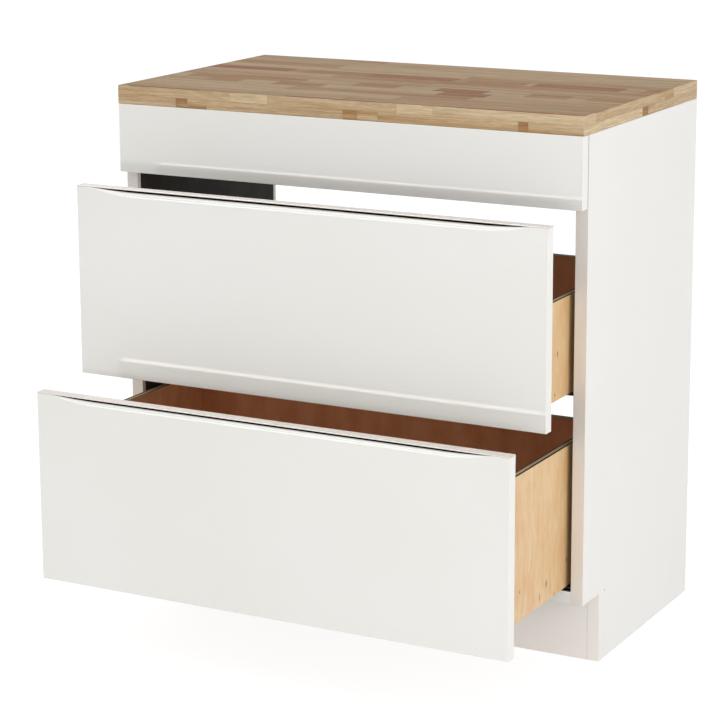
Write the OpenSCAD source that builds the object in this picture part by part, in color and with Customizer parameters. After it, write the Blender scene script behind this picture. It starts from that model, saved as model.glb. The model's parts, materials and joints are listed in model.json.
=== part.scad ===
// Ready-to-assemble vanity base cabinet, shown with both of its drawers pulled out.
// A gloss white carcass with an open back and a recessed toe kick carries a butcher-block top.
// A fixed false front hides the basin space. Two wide drawers run under it on concealed slides.
// X runs to the right, Y to the back and Z up, in millimetres.
// The origin is on the floor, under the middle of everything with the drawers pulled out as set below.

/* [Cabinet] */
// Width over the two side panels
cabinet_w = 762; // [600:1:914]
// Depth of the carcass, behind the fronts
carcass_d = 418; // [360:1:600]
// Height of the carcass, under the worktop
carcass_h = 787; // [720:1:900]
// Thickness of the side panels, the bottom panel and the rails
panel_t = 19; // [18:0.5:22]
// Height of the toe kick
kick_h = 105; // [80:1:120]
// Depth of the toe-kick recess
kick_recess = 63; // [40:1:75]
// Thickness of the kick board
kick_t = 16; // [12:1:19]
// Height of the front rail and of the two rear rails
rail_h = 96; // [90:1:100]
// Side of a square glue block behind the kick board
glue_block_w = 30; // [20:1:40]
// Gap between the glue blocks and the floor
glue_block_lift = 10; // [5:1:20]

/* [Worktop] */
// Thickness of the butcher-block top
worktop_t = 28; // [18:1:40]
// Leg of a worktop bracket
bracket_leg = 30; // [24:1:36]
// Width of a worktop bracket
bracket_w = 20; // [14:1:30]
// Sheet thickness of a worktop bracket
bracket_t = 1.5; // [1:0.1:2.5]
// Distance of the worktop brackets from the middle of the cabinet
bracket_x = 240; // [150:1:240]

/* [Fronts] */
// Thickness of the false front and of the drawer fronts
front_t = 18; // [16:0.5:22]
// Gap between the fronts and the carcass
front_gap = 1.6; // [1.6:0.1:4]
// Gap between one front and the next
reveal = 3; // [2:0.5:4]
// How far a front stays inside the cabinet's side
side_reveal = 0.75; // [0.5:0.25:2]
// Height of the false front
false_front_h = 104; // [100:1:160]
// Height of the upper drawer front
upper_front_h = 286; // [220:1:320]
// Radius of a spacer pad behind the false front
pad_r = 10; // [6:0.5:12]
// Radius of a drawer bumper
bumper_r = 4; // [3:0.5:6]
// Play between a bumper and the carcass with the drawer shut
bumper_play = 0.1; // [0.05:0.05:0.4]
// Distance of a bumper from the top and bottom of its front
bumper_inset = 22; // [18:1:40]

/* [Finger pull] */
// Thickness of the metal strip on a drawer front
strip_t = 1.5; // [1:0.1:3]
// Height of the finger scoop on the face
scoop_h = 8.2; // [6.5:0.1:14]
// Depth of the finger scoop
scoop_d = 11; // [8:0.5:12]
// Height of the scoop's back wall
scoop_back_h = 4.6; // [4.4:0.1:6]
// How far the scoop's floor sags under a straight line
scoop_sag = 0.8; // [0.2:0.1:1]
// Distance from the front's end to the scoop
scoop_inset = 25; // [15:1:80]
// Length over which the scoop runs out at each end
scoop_runout = 52; // [20:1:90]
// Thickness of the dark liner on the scoop's back wall
liner_t = 0.8; // [0.5:0.1:1.5]

/* [Drawer boxes] */
// Gap between the back of a shut drawer box and the rear of the carcass
box_rear_gap = 33.6; // [28:0.1:60]
// Thickness of the box sides, front and back
box_side_t = 12; // [12:0.5:16]
// Gap between a box side and the side panel
box_clear = 9; // [5:0.5:12]
// Height of the upper box above the bottom edge of its front
upper_box_lift = 21; // [20:1:40]
// Distance from the top of the upper front down to its box, which leaves room for a basin
upper_box_drop = 122; // [80:1:150]
// Distance from the top of the lower front down to its box
lower_box_drop = 52; // [40:1:120]
// Thickness of a box bottom
box_bottom_t = 6; // [4:0.5:9]
// Depth of the space under a box bottom
bottom_recess = 13; // [12:0.5:16]
// Depth of the grooves that hold a box bottom
groove_d = 6; // [4:0.5:7]
// Gap around a slide in the box back
notch_clear = 1.5; // [1:0.5:4]

/* [Slides] */
// Sheet thickness of a slide
slide_t = 1.2; // [1:0.1:1.2]
// Setback of the cabinet rail from the carcass front
slide_setback = 14; // [13:0.5:16]
// Gap between the cabinet rail and the rear of the carcass
slide_rear_gap = 26; // [23:0.5:30]
// Height of the flange that is screwed to the side panel
flange_h = 32; // [24:1:40]
// Distance of the first slide screw from the carcass front
slide_screw_first = 37; // [30:1:50]
// Distance from one slide screw to the next
slide_screw_pitch = 160; // [96:1:160]
// Least distance of a slide screw from the rear end of its rail
slide_screw_margin = 10; // [8:1:20]
// Width of a slide channel
channel_w = 26; // [24:0.5:30]
// Gap between a slide channel and the box side
channel_inset = 2; // [1:0.5:4]
// Gap between the cabinet channel and the drawer channel
channel_gap = 2; // [2:0.1:2.6]
// Width of the middle rail
mid_w = 8; // [7:0.5:9]
// Setback of the middle rail behind the front end of the cabinet rail, with the drawer shut
mid_setback = 2; // [1:0.5:2]
// Distance of the shut middle rail's rear end from that of the cabinet rail
mid_rear_gap = 26; // [22:1:40]
// Radius of a slide roller
roller_r = 2.5; // [2.4:0.1:2.7]
// Gap between the end of a roller and the wall of its channel
roller_side_gap = 0.4; // [0.3:0.1:1.5]
// Running gap above and below a roller
run_gap = 0.3; // [0.2:0.05:0.4]
// Gap around the middle rail
slot_gap = 0.6; // [0.5:0.1:1]
// Distance of the first roller from the end of the middle rail
roller_inset = 12; // [8:1:15]
// Distance from one roller to the next
roller_pitch = 75; // [50:1:78]
// Number of roller stations on each half of the middle rail
roller_count = 3; // [2:1:3]
// Width of a front catch
catch_w = 25; // [15:1:30]
// Length of a front catch
catch_len = 45; // [30:1:60]
// Height of a front catch
catch_h = 10; // [6:0.5:11]

/* [Drawers as shown] */
// How far the upper drawer is pulled out
upper_open = 116.25; // [0:0.25:340]
// How far the lower drawer is pulled out
lower_open = 232.5; // [0:0.25:340]

/* [Fasteners] */
// Radius of a cam lock
cam_r = 7.4; // [7:0.1:7.5]
// Height of a cam lock
cam_h = 12.4; // [12:0.1:13]
// Distance of a cam lock from the end of its board
cam_inset = 34; // [30:1:40]
// Width of the slot in a cam lock
cam_slot = 8; // [7.4:0.1:9]
// Radius of a cam bolt's shank
bolt_r = 2.5; // [2:0.1:3]
// Radius of a cam bolt's head
bolt_head_r = 3.4; // [3.1:0.1:3.6]
// Length of a cam bolt's head
bolt_head_len = 3.5; // [3:0.5:5]
// Radius of the hole for a cam bolt in a board's end
bolt_bore_r = 4; // [3.8:0.1:4.5]
// Radius of a wooden dowel
dowel_r = 4; // [3:0.5:5]
// Length of a wooden dowel
dowel_len = 30; // [25:1:35]
// Depth of a bolt or dowel in a side panel
side_bite = 11; // [9:0.5:13]
// Radius of a screw's shank
screw_r = 2; // [1.5:0.1:2.4]
// Radius of a screw's head
screw_head_r = 4; // [3.4:0.1:4.5]
// Height of a screw's head
screw_head_h = 2; // [1.4:0.1:2.6]
// Depth of a screw in the last board that it holds
screw_bite = 11; // [8:0.5:12]
// Distance of a box-front screw from the middle
front_screw_x = 220; // [120:1:240]
// Distance of a box-front screw from the box's top edge and from its floor
front_screw_inset = 28; // [16:1:32]
// Distance of the outer false-front screws from the middle
false_screw_x = 200; // [120:1:210]
// Number of false-front screws
false_screw_count = 4; // [2:1:5]
// Clearance around each fastener
bore_clear = 0.05; // [0.02:0.01:0.1]
// Distance of the front cam locks in the bottom panel from the carcass front
floor_cam_front = 140; // [120:1:160]
// Distance of the rear cam locks in the bottom panel from the rear
floor_cam_rear = 118; // [60:1:160]
// Distance of the dowels in the bottom panel from its front and rear edges
floor_dowel_inset = 40; // [30:1:60]
// Distance of the cam locks of the upper rails from the top
joint_edge = 30; // [24:1:34]
// Distance from a rail's cam lock to its dowel
joint_step = 36; // [28:1:40]
// Distance between the two wall-fixing holes
wall_hole_pitch = 406.4; // [300:0.1:406.4]
// Radius of a wall-fixing hole
wall_hole_r = 2.5; // [2:0.1:4]
// Radius of the pilot mark beside the kick notch
mark_r = 1.8; // [1:0.1:3]
// Depth of the pilot mark
mark_depth = 3; // [1:0.5:6]
// Distance of the pilot mark behind the kick notch
mark_setback = 17.7; // [10:0.1:30]

/* [Hidden] */
$fn = 48;
cut = 1;

// Slides: the channel just holds a roller, and the two channels fill the space under the box
channel_h = 2 * (slide_t + roller_r + run_gap);
slide_drop = 2 * channel_h + channel_gap - bottom_recess;
mid_h = 2 * channel_h + channel_gap - 2 * (slide_t + slot_gap);
slot_w = mid_w + 2 * slot_gap;
roller_len = channel_w / 2 - slide_t - mid_w / 2 - roller_side_gap;

// Widths, from the middle outwards
outer_half = cabinet_w / 2;
inner_half = outer_half - panel_t;
front_half = outer_half - side_reveal;
box_outer = inner_half - box_clear;
box_inner = box_outer - box_side_t;
channel_x = box_inner - channel_inset - channel_w / 2;

// Depths: cab_y(0) is the carcass front
closed_d = carcass_d + front_gap + front_t;
rear_y = (closed_d + max(upper_open, lower_open)) / 2;
function cab_y(depth) = rear_y - carcass_d + depth;
function box_y(open) = cab_y(-front_gap) - open;
function face_y(open) = box_y(open) - front_t;
bumper_t = front_gap - bumper_play;
box_d = carcass_d + front_gap - box_rear_gap;
slide_len = carcass_d - slide_setback - slide_rear_gap;
mid_len = slide_len - mid_setback - mid_rear_gap;

// Heights
bottom_z = kick_h + panel_t;
worktop_z = carcass_h;
false_front_z = carcass_h - false_front_h;
upper_front_z = false_front_z - reveal - upper_front_h;
lower_front_z = kick_h;
lower_front_h = upper_front_z - reveal - lower_front_z;
upper_box_z = upper_front_z + upper_box_lift;
upper_box_h = upper_front_h - upper_box_drop - upper_box_lift;
lower_box_z = bottom_z + slide_drop;
lower_box_h = lower_front_z + lower_front_h - lower_box_drop - lower_box_z;
rail_z = carcass_h - rail_h;

// Joints between boards: [depth, height, turn of the cam's face about X]
floor_mid_z = kick_h + panel_t / 2;
floor_cams = [[floor_cam_front, floor_mid_z, 0], [carcass_d - floor_cam_rear, floor_mid_z, 0]];
floor_dowels = [[floor_dowel_inset, floor_mid_z], [carcass_d - floor_dowel_inset, floor_mid_z]];
front_rail_cams = [[panel_t / 2, carcass_h - joint_edge, 90]];
front_rail_dowels = [[panel_t / 2, carcass_h - joint_edge - joint_step]];
rear_rail_cams = [[carcass_d - panel_t / 2, carcass_h - joint_edge, -90]];
rear_rail_dowels = [[carcass_d - panel_t / 2, carcass_h - joint_edge - joint_step]];
rear_foot_cams = [[carcass_d - panel_t / 2, bottom_z + joint_edge + joint_step, -90]];
rear_foot_dowels = [[carcass_d - panel_t / 2, bottom_z + joint_edge]];
all_cams = concat(floor_cams, front_rail_cams, rear_rail_cams, rear_foot_cams);
all_dowels = concat(floor_dowels, front_rail_dowels, rear_rail_dowels, rear_foot_dowels);

// Screws in rows: a longer slide gets more of them
slide_screw_last = slide_setback + slide_len - slide_screw_margin;
slide_screw_depths = [for (d = [slide_screw_first:slide_screw_pitch:slide_screw_last]) d];
slide_screw_lift = flange_h / 2;
false_screw_step = 2 * false_screw_x / (false_screw_count - 1);
false_screw_xs = [for (i = [0:false_screw_count - 1]) -false_screw_x + i * false_screw_step];

// Finishes
gloss_white = "#e5e5e0";
side_white = "#eaeae7";
carcass_beige = "#d3c9c0";
beech = "#c8a478";
birch = "#debe91";
dark_liner = "#141414";
chrome = "#dcdfe2";
zinc = "#b4b8bb";
nylon = "#e8e6df";
grey_plastic = "#8d9092";
dowel_wood = "#d8b988";

// A square block between two opposite corners
module block(low, high) {
    translate(low) cube(high - low);
}

// The same thing on the right and, mirrored, on the left
module both_sides() {
    children();
    mirror([1, 0, 0]) children();
}

// A shape drawn in depth and height, made thick along X from x0
module along_x(x0, length) {
    translate([x0, 0, 0]) rotate([90, 0, 90]) linear_extrude(length) children();
}

// A shape drawn in width and height, made long along Y from y0
module along_y(y0, length) {
    translate([0, y0 + length, 0]) rotate([90, 0, 0]) linear_extrude(length) children();
}

// A pan-head screw: the head stands up from the origin and the shank goes down
module screw(length, head_r = screw_head_r) {
    cylinder(r = head_r, h = screw_head_h);
    translate([0, 0, -length]) cylinder(r = screw_r, h = length);
}

// The hole that a screw's shank needs
module screw_bore(length) {
    translate([0, 0, -length - bore_clear])
        cylinder(r = screw_r + bore_clear, h = length + bore_clear + cut);
}

// Carcass joints, drawn for the right-hand end of a board

module cam_bore() {
    translate([-cam_inset, 0, -panel_t / 2 - cut])
        cylinder(r = cam_r + bore_clear, h = cam_h + bore_clear + cut);
    translate([-cam_inset, 0, 0])
        rotate([0, 90, 0]) cylinder(r = bolt_bore_r, h = cam_inset + cut);
}

module cam_lock() {
    difference() {
        translate([-cam_inset, 0, -panel_t / 2]) cylinder(r = cam_r, h = cam_h);
        translate([-cam_inset - cam_slot / 2, -cam_slot / 2, -cam_slot / 2])
            cube([cam_inset, cam_slot, panel_t]);
    }
}

module cam_bolt() {
    translate([-cam_inset, 0, 0]) rotate([0, 90, 0]) {
        cylinder(r = bolt_r, h = cam_inset + side_bite);
        cylinder(r = bolt_head_r, h = bolt_head_len);
    }
}

module place_joint(joint) {
    translate([inner_half, cab_y(joint[0]), joint[1]]) children();
}

module board_end_bores(cams, pegs) {
    for (joint = cams) place_joint(joint) rotate([joint[2], 0, 0]) cam_bore();
    for (joint = pegs) place_joint(joint) translate([side_bite - dowel_len - bore_clear, 0, 0])
        rotate([0, 90, 0]) cylinder(r = dowel_r + bore_clear, h = dowel_len);
}

module board(low, high, cams, pegs) {
    difference() {
        block(low, high);
        both_sides() board_end_bores(cams, pegs);
    }
}

// Places the slide screws of one drawer on the right-hand flange
module place_slide_screws(box_z) {
    for (depth = slide_screw_depths)
        translate([inner_half - slide_t, cab_y(depth), box_z - slide_drop + slide_screw_lift])
            rotate([0, -90, 0]) children();
}

// Places the screws of the false front on the rear face of the front rail
module place_false_screws() {
    for (x = false_screw_xs)
        translate([x, cab_y(panel_t), rail_z + rail_h / 2]) rotate([-90, 0, 0]) children();
}
false_screw_len = panel_t + front_gap + screw_bite;

// Places what belongs to a bracket under the worktop, for the front rail and the rear rail.
// The corner between rail and worktop is the origin, and Y runs away from the rail.
module place_brackets() {
    both_sides() {
        translate([bracket_x, cab_y(panel_t), carcass_h]) children();
        translate([bracket_x, cab_y(carcass_d - panel_t), carcass_h]) mirror([0, 1, 0]) children();
    }
}

module place_bracket_screws() {
    place_brackets() {
        translate([0, bracket_t, -bracket_leg / 2]) rotate([-90, 0, 0]) children();
        translate([0, bracket_leg / 2, -bracket_t]) rotate([180, 0, 0]) children();
    }
}
bracket_screw_len = bracket_t + screw_bite;

// Carcass

module side_panel() {
    difference() {
        along_x(inner_half, panel_t) polygon([
            [cab_y(kick_recess), 0], [cab_y(carcass_d), 0], [cab_y(carcass_d), carcass_h],
            [cab_y(0), carcass_h], [cab_y(0), kick_h], [cab_y(kick_recess), kick_h]
        ]);
        for (joint = all_cams) place_joint(joint) translate([-cut, 0, 0])
            rotate([0, 90, 0]) cylinder(r = bolt_r + bore_clear, h = cut + side_bite + bore_clear);
        for (joint = all_dowels) place_joint(joint) translate([-cut, 0, 0])
            rotate([0, 90, 0]) cylinder(r = dowel_r + bore_clear, h = cut + side_bite + bore_clear);
        place_slide_screws(upper_box_z) screw_bore(slide_t + screw_bite);
        place_slide_screws(lower_box_z) screw_bore(slide_t + screw_bite);
        translate([outer_half - mark_depth, cab_y(kick_recess + mark_setback), kick_h])
            rotate([0, 90, 0]) cylinder(r = mark_r, h = mark_depth + cut);
    }
}

module side_panel_right() {
    color(side_white) side_panel();
}

module side_panel_left() {
    color(side_white) mirror([1, 0, 0]) side_panel();
}

module bottom_panel() {
    color(carcass_beige) board(
        [-inner_half, cab_y(0), kick_h], [inner_half, cab_y(carcass_d), bottom_z],
        floor_cams, floor_dowels);
}

module kick_board() {
    color(side_white) block(
        [-inner_half, cab_y(kick_recess), 0],
        [inner_half, cab_y(kick_recess + kick_t), kick_h]);
}

module glue_blocks() {
    back = kick_recess + kick_t;
    for (x = [-inner_half, -glue_block_w / 2, inner_half - glue_block_w])
        color(dowel_wood) block(
            [x, cab_y(back), glue_block_lift],
            [x + glue_block_w, cab_y(back + glue_block_w), kick_h]);
}

module front_rail() {
    color(carcass_beige) difference() {
        board([-inner_half, cab_y(0), rail_z], [inner_half, cab_y(panel_t), carcass_h],
            front_rail_cams, front_rail_dowels);
        place_false_screws() screw_bore(false_screw_len);
        place_bracket_screws() screw_bore(bracket_screw_len);
    }
}

module rear_top_rail() {
    color(carcass_beige) difference() {
        board(
            [-inner_half, cab_y(carcass_d - panel_t), rail_z],
            [inner_half, cab_y(carcass_d), carcass_h],
            rear_rail_cams, rear_rail_dowels);
        place_bracket_screws() screw_bore(bracket_screw_len);
        for (x = [-wall_hole_pitch / 2, wall_hole_pitch / 2])
            translate([x, cab_y(carcass_d) + cut, rail_z + rail_h / 2])
                rotate([90, 0, 0]) cylinder(r = wall_hole_r, h = panel_t + 2 * cut);
    }
}

module rear_bottom_rail() {
    color(carcass_beige) board(
        [-inner_half, cab_y(carcass_d - panel_t), bottom_z],
        [inner_half, cab_y(carcass_d), bottom_z + rail_h],
        rear_foot_cams, rear_foot_dowels);
}

module cam_locks() {
    color(zinc) both_sides() for (joint = all_cams)
        place_joint(joint) rotate([joint[2], 0, 0]) cam_lock();
}

module cam_bolts() {
    color(zinc) both_sides() for (joint = all_cams) place_joint(joint) cam_bolt();
}

module dowels() {
    color(dowel_wood) both_sides() for (joint = all_dowels)
        place_joint(joint) translate([side_bite - dowel_len, 0, 0])
            rotate([0, 90, 0]) cylinder(r = dowel_r, h = dowel_len);
}

// Worktop

module worktop() {
    color(beech) difference() {
        block(
            [-outer_half, face_y(0), worktop_z],
            [outer_half, cab_y(carcass_d), worktop_z + worktop_t]);
        place_bracket_screws() screw_bore(bracket_screw_len);
    }
}

module worktop_brackets() {
    color(zinc) difference() {
        place_brackets() {
            block([-bracket_w / 2, 0, -bracket_leg], [bracket_w / 2, bracket_t, 0]);
            block([-bracket_w / 2, 0, -bracket_t], [bracket_w / 2, bracket_leg, 0]);
        }
        place_bracket_screws() screw_bore(bracket_screw_len);
    }
}

module bracket_screws() {
    color(zinc) place_bracket_screws() screw(bracket_screw_len);
}

// False front

module false_front() {
    color(gloss_white) difference() {
        block([-front_half, face_y(0), false_front_z], [front_half, box_y(0), carcass_h]);
        place_false_screws() screw_bore(false_screw_len);
    }
}

module false_front_pads() {
    color(grey_plastic) difference() {
        place_false_screws()
            translate([0, 0, -panel_t - front_gap]) cylinder(r = pad_r, h = front_gap);
        place_false_screws() screw_bore(false_screw_len);
    }
}

module false_front_screws() {
    color(zinc) place_false_screws() screw(false_screw_len);
}

// Drawer fronts

// Outline of the scoop on the face, from the lip down, with a quarter sine at each end
runout_steps = 12;
scoop_end = front_half - scoop_inset;
function runout_x(t) = scoop_end - scoop_runout * t;
function runout_z(t) = -scoop_h * sin(90 * t);
function scoop_outline(over) = concat(
    [[scoop_end, over]],
    [for (i = [0:runout_steps]) [runout_x(i / runout_steps), runout_z(i / runout_steps)]],
    [for (i = [runout_steps:-1:0]) [-runout_x(i / runout_steps), runout_z(i / runout_steps)]],
    [[-scoop_end, over]]
);

// Section of the scoop, from the face inwards, with a hollowed floor
floor_steps = 6;
function floor_z(t) = -scoop_h + (scoop_h - scoop_back_h) * t - 4 * scoop_sag * t * (1 - t);
function scoop_section(over) = concat(
    [[scoop_d, over], [-over, over], [-over, -scoop_h]],
    [for (i = [0:floor_steps]) [scoop_d * i / floor_steps, floor_z(i / floor_steps)]]
);

// The space of the scoop. The lip's underside is at z, and over is how far the space passes it.
module scoop_space(z, open, over) {
    translate([0, face_y(open), z]) intersection() {
        along_x(-front_half, 2 * front_half) polygon(scoop_section(over));
        along_y(-over, scoop_d + over) polygon(scoop_outline(over));
    }
}

// Places the screws that hold a front to its box, on the inner face of the box front
module place_front_screws(box_z, box_h, open) {
    floor_top = box_z + bottom_recess + box_bottom_t;
    for (x = [-front_screw_x, front_screw_x])
        for (z = [floor_top + front_screw_inset, box_z + box_h - front_screw_inset])
            translate([x, box_y(open) + box_side_t, z]) rotate([-90, 0, 0]) children();
}
front_screw_len = box_side_t + screw_bite;

module drawer_front(z, h, box_z, box_h, open) {
    difference() {
        block([-front_half, face_y(open), z], [front_half, box_y(open), z + h - strip_t]);
        scoop_space(z + h - strip_t, open, cut);
        place_front_screws(box_z, box_h, open) screw_bore(front_screw_len);
    }
}

module pull_strip(z, h, open) {
    block([-front_half, face_y(open), z + h - strip_t], [front_half, box_y(open), z + h]);
}

module pull_liner(z, h, open) {
    lip_z = z + h - strip_t;
    wall_y = face_y(open) + scoop_d;
    intersection() {
        scoop_space(lip_z, open, 0);
        block([-front_half, wall_y - liner_t, z], [front_half, wall_y, lip_z]);
    }
}

module bumpers(z, h, open) {
    both_sides() for (height = [z + bumper_inset, z + h - bumper_inset])
        translate([inner_half + panel_t / 2, box_y(open), height])
            rotate([-90, 0, 0]) cylinder(r = bumper_r, h = bumper_t);
}

// Drawer boxes

// The panel that the bottom fills, with its edges in the grooves
module bottom_slot(box_z, open) {
    half = box_inner + groove_d;
    front_y = box_y(open) + box_side_t - groove_d;
    back_y = box_y(open) + box_d - box_side_t + groove_d;
    block(
        [-half, front_y, box_z + bottom_recess],
        [half, back_y, box_z + bottom_recess + box_bottom_t]);
}

module box_side(box_z, box_h, open) {
    difference() {
        block([box_inner, box_y(open), box_z], [box_outer, box_y(open) + box_d, box_z + box_h]);
        bottom_slot(box_z, open);
    }
}

module box_front(box_z, box_h, open) {
    difference() {
        block([-box_inner, box_y(open), box_z], [box_inner, box_y(open) + box_side_t, box_z + box_h]);
        bottom_slot(box_z, open);
        place_front_screws(box_z, box_h, open) screw_bore(front_screw_len);
    }
}

module box_back(box_z, box_h, open) {
    back_y = box_y(open) + box_d;
    difference() {
        block([-box_inner, back_y - box_side_t, box_z], [box_inner, back_y, box_z + box_h]);
        bottom_slot(box_z, open);
        both_sides() block(
            [channel_x - channel_w / 2 - notch_clear, back_y - box_side_t - cut, box_z - cut],
            [box_inner + cut, back_y + cut, box_z + bottom_recess]);
    }
}

// Slides, drawn for the right-hand side

// Section of a rolled channel that is open upwards, centred on X and standing on Z = 0
module channel_section() {
    difference() {
        translate([-channel_w / 2, 0]) square([channel_w, channel_h]);
        translate([-channel_w / 2 + slide_t, slide_t])
            square([channel_w - 2 * slide_t, channel_h - 2 * slide_t]);
        translate([-slot_w / 2, channel_h - slide_t - cut]) square([slot_w, slide_t + 2 * cut]);
    }
}

module cabinet_rail(box_z) {
    web_x = channel_x - channel_w / 2;
    difference() {
        translate([0, 0, box_z - slide_drop]) along_y(cab_y(slide_setback), slide_len) {
            translate([channel_x, 0]) channel_section();
            translate([web_x, 0]) square([inner_half - web_x, slide_t]);
            translate([inner_half - slide_t, 0]) square([slide_t, flange_h]);
        }
        place_slide_screws(box_z) screw_bore(slide_t + screw_bite);
    }
}

module mid_rail(box_z, open) {
    front_y = cab_y(slide_setback + mid_setback) - open / 2;
    translate([channel_x, 0, box_z - slide_drop + slide_t + slot_gap])
        along_y(front_y, mid_len) difference() {
            translate([-mid_w / 2, 0]) square([mid_w, mid_h]);
            translate([-mid_w / 2 + slide_t, slide_t])
                square([mid_w - 2 * slide_t, mid_h - 2 * slide_t]);
        }
}

// The lower rollers sit at the rear of the middle rail and the upper rollers at its front
module mid_rollers(box_z, open) {
    front_y = cab_y(slide_setback + mid_setback) - open / 2;
    low_z = box_z - slide_drop + slide_t + run_gap + roller_r;
    high_z = box_z + bottom_recess - slide_t - run_gap - roller_r;
    for (i = [0:roller_count - 1], x = [channel_x - mid_w / 2 - roller_len, channel_x + mid_w / 2]) {
        step = roller_inset + i * roller_pitch;
        translate([x, front_y + mid_len - step, low_z])
            rotate([0, 90, 0]) cylinder(r = roller_r, h = roller_len);
        translate([x, front_y + step, high_z])
            rotate([0, 90, 0]) cylinder(r = roller_r, h = roller_len);
    }
}

module drawer_rail(box_z, open) {
    translate([channel_x, 0, box_z + bottom_recess])
        along_y(box_y(open) + box_side_t, box_d - box_side_t) mirror([0, 1]) channel_section();
}

module front_catch(box_z, open) {
    inner_x = channel_x - channel_w / 2;
    front_y = box_y(open) + box_side_t;
    block([inner_x - catch_w, front_y, box_z + bottom_recess - catch_h],
        [inner_x, front_y + catch_len, box_z + bottom_recess]);
}

// Slide rails that are fixed to the cabinet

module upper_right_cabinet_rail() {
    color(zinc) cabinet_rail(upper_box_z);
}

module upper_left_cabinet_rail() {
    color(zinc) mirror([1, 0, 0]) cabinet_rail(upper_box_z);
}

module lower_right_cabinet_rail() {
    color(zinc) cabinet_rail(lower_box_z);
}

module lower_left_cabinet_rail() {
    color(zinc) mirror([1, 0, 0]) cabinet_rail(lower_box_z);
}

module slide_screws() {
    color(zinc) both_sides() for (box_z = [upper_box_z, lower_box_z])
        place_slide_screws(box_z) screw(slide_t + screw_bite);
}

// Upper drawer

module upper_front() {
    color(gloss_white) drawer_front(upper_front_z, upper_front_h, upper_box_z, upper_box_h, upper_open);
}

module upper_pull_strip() {
    color(chrome) pull_strip(upper_front_z, upper_front_h, upper_open);
}

module upper_pull_liner() {
    color(dark_liner) pull_liner(upper_front_z, upper_front_h, upper_open);
}

module upper_box_front() {
    color(birch) box_front(upper_box_z, upper_box_h, upper_open);
}

module upper_box_right() {
    color(birch) box_side(upper_box_z, upper_box_h, upper_open);
}

module upper_box_left() {
    color(birch) mirror([1, 0, 0]) box_side(upper_box_z, upper_box_h, upper_open);
}

module upper_box_back() {
    color(birch) box_back(upper_box_z, upper_box_h, upper_open);
}

module upper_box_bottom() {
    color(birch) bottom_slot(upper_box_z, upper_open);
}

module upper_right_drawer_rail() {
    color(zinc) drawer_rail(upper_box_z, upper_open);
}

module upper_left_drawer_rail() {
    color(zinc) mirror([1, 0, 0]) drawer_rail(upper_box_z, upper_open);
}

module upper_catches() {
    color(grey_plastic) both_sides() front_catch(upper_box_z, upper_open);
}

module upper_front_screws() {
    color(zinc) place_front_screws(upper_box_z, upper_box_h, upper_open) screw(front_screw_len);
}

module upper_bumpers() {
    color(grey_plastic) bumpers(upper_front_z, upper_front_h, upper_open);
}

module upper_right_mid_rail() {
    color(zinc) mid_rail(upper_box_z, upper_open);
}

module upper_left_mid_rail() {
    color(zinc) mirror([1, 0, 0]) mid_rail(upper_box_z, upper_open);
}

module upper_rollers() {
    color(nylon) both_sides() mid_rollers(upper_box_z, upper_open);
}

// Lower drawer

module lower_front() {
    color(gloss_white) drawer_front(lower_front_z, lower_front_h, lower_box_z, lower_box_h, lower_open);
}

module lower_pull_strip() {
    color(chrome) pull_strip(lower_front_z, lower_front_h, lower_open);
}

module lower_pull_liner() {
    color(dark_liner) pull_liner(lower_front_z, lower_front_h, lower_open);
}

module lower_box_front() {
    color(birch) box_front(lower_box_z, lower_box_h, lower_open);
}

module lower_box_right() {
    color(birch) box_side(lower_box_z, lower_box_h, lower_open);
}

module lower_box_left() {
    color(birch) mirror([1, 0, 0]) box_side(lower_box_z, lower_box_h, lower_open);
}

module lower_box_back() {
    color(birch) box_back(lower_box_z, lower_box_h, lower_open);
}

module lower_box_bottom() {
    color(birch) bottom_slot(lower_box_z, lower_open);
}

module lower_right_drawer_rail() {
    color(zinc) drawer_rail(lower_box_z, lower_open);
}

module lower_left_drawer_rail() {
    color(zinc) mirror([1, 0, 0]) drawer_rail(lower_box_z, lower_open);
}

module lower_catches() {
    color(grey_plastic) both_sides() front_catch(lower_box_z, lower_open);
}

module lower_front_screws() {
    color(zinc) place_front_screws(lower_box_z, lower_box_h, lower_open) screw(front_screw_len);
}

module lower_bumpers() {
    color(grey_plastic) bumpers(lower_front_z, lower_front_h, lower_open);
}

module lower_right_mid_rail() {
    color(zinc) mid_rail(lower_box_z, lower_open);
}

module lower_left_mid_rail() {
    color(zinc) mirror([1, 0, 0]) mid_rail(lower_box_z, lower_open);
}

module lower_rollers() {
    color(nylon) both_sides() mid_rollers(lower_box_z, lower_open);
}

worktop();
side_panel_left();
side_panel_right();
bottom_panel();
kick_board();
glue_blocks();
front_rail();
rear_top_rail();
rear_bottom_rail();
false_front();
false_front_pads();
false_front_screws();
worktop_brackets();
bracket_screws();
cam_locks();
cam_bolts();
dowels();
upper_left_cabinet_rail();
upper_right_cabinet_rail();
lower_left_cabinet_rail();
lower_right_cabinet_rail();
slide_screws();
upper_front();
upper_pull_strip();
upper_pull_liner();
upper_box_front();
upper_box_left();
upper_box_right();
upper_box_back();
upper_box_bottom();
upper_left_drawer_rail();
upper_right_drawer_rail();
upper_catches();
upper_front_screws();
upper_bumpers();
lower_front();
lower_pull_strip();
lower_pull_liner();
lower_box_front();
lower_box_left();
lower_box_right();
lower_box_back();
lower_box_bottom();
lower_left_drawer_rail();
lower_right_drawer_rail();
lower_catches();
lower_front_screws();
lower_bumpers();
upper_left_mid_rail();
upper_right_mid_rail();
upper_rollers();
lower_left_mid_rail();
lower_right_mid_rail();
lower_rollers();
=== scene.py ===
# %% [markdown]
# # A bathroom vanity base cabinet, dressed for a catalogue picture
# The real object is a ready-to-assemble cabinet: a white carcass, a butcher-block top, a fixed
# false front and two wide drawers, both pulled out. Each board could be modelled here from nothing.
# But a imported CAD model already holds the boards, the slides and the joints, so it is loaded first,
# and every piece takes its place and its size from it. This lesson adds the edges and the surfaces
# that the real ones have.

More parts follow.
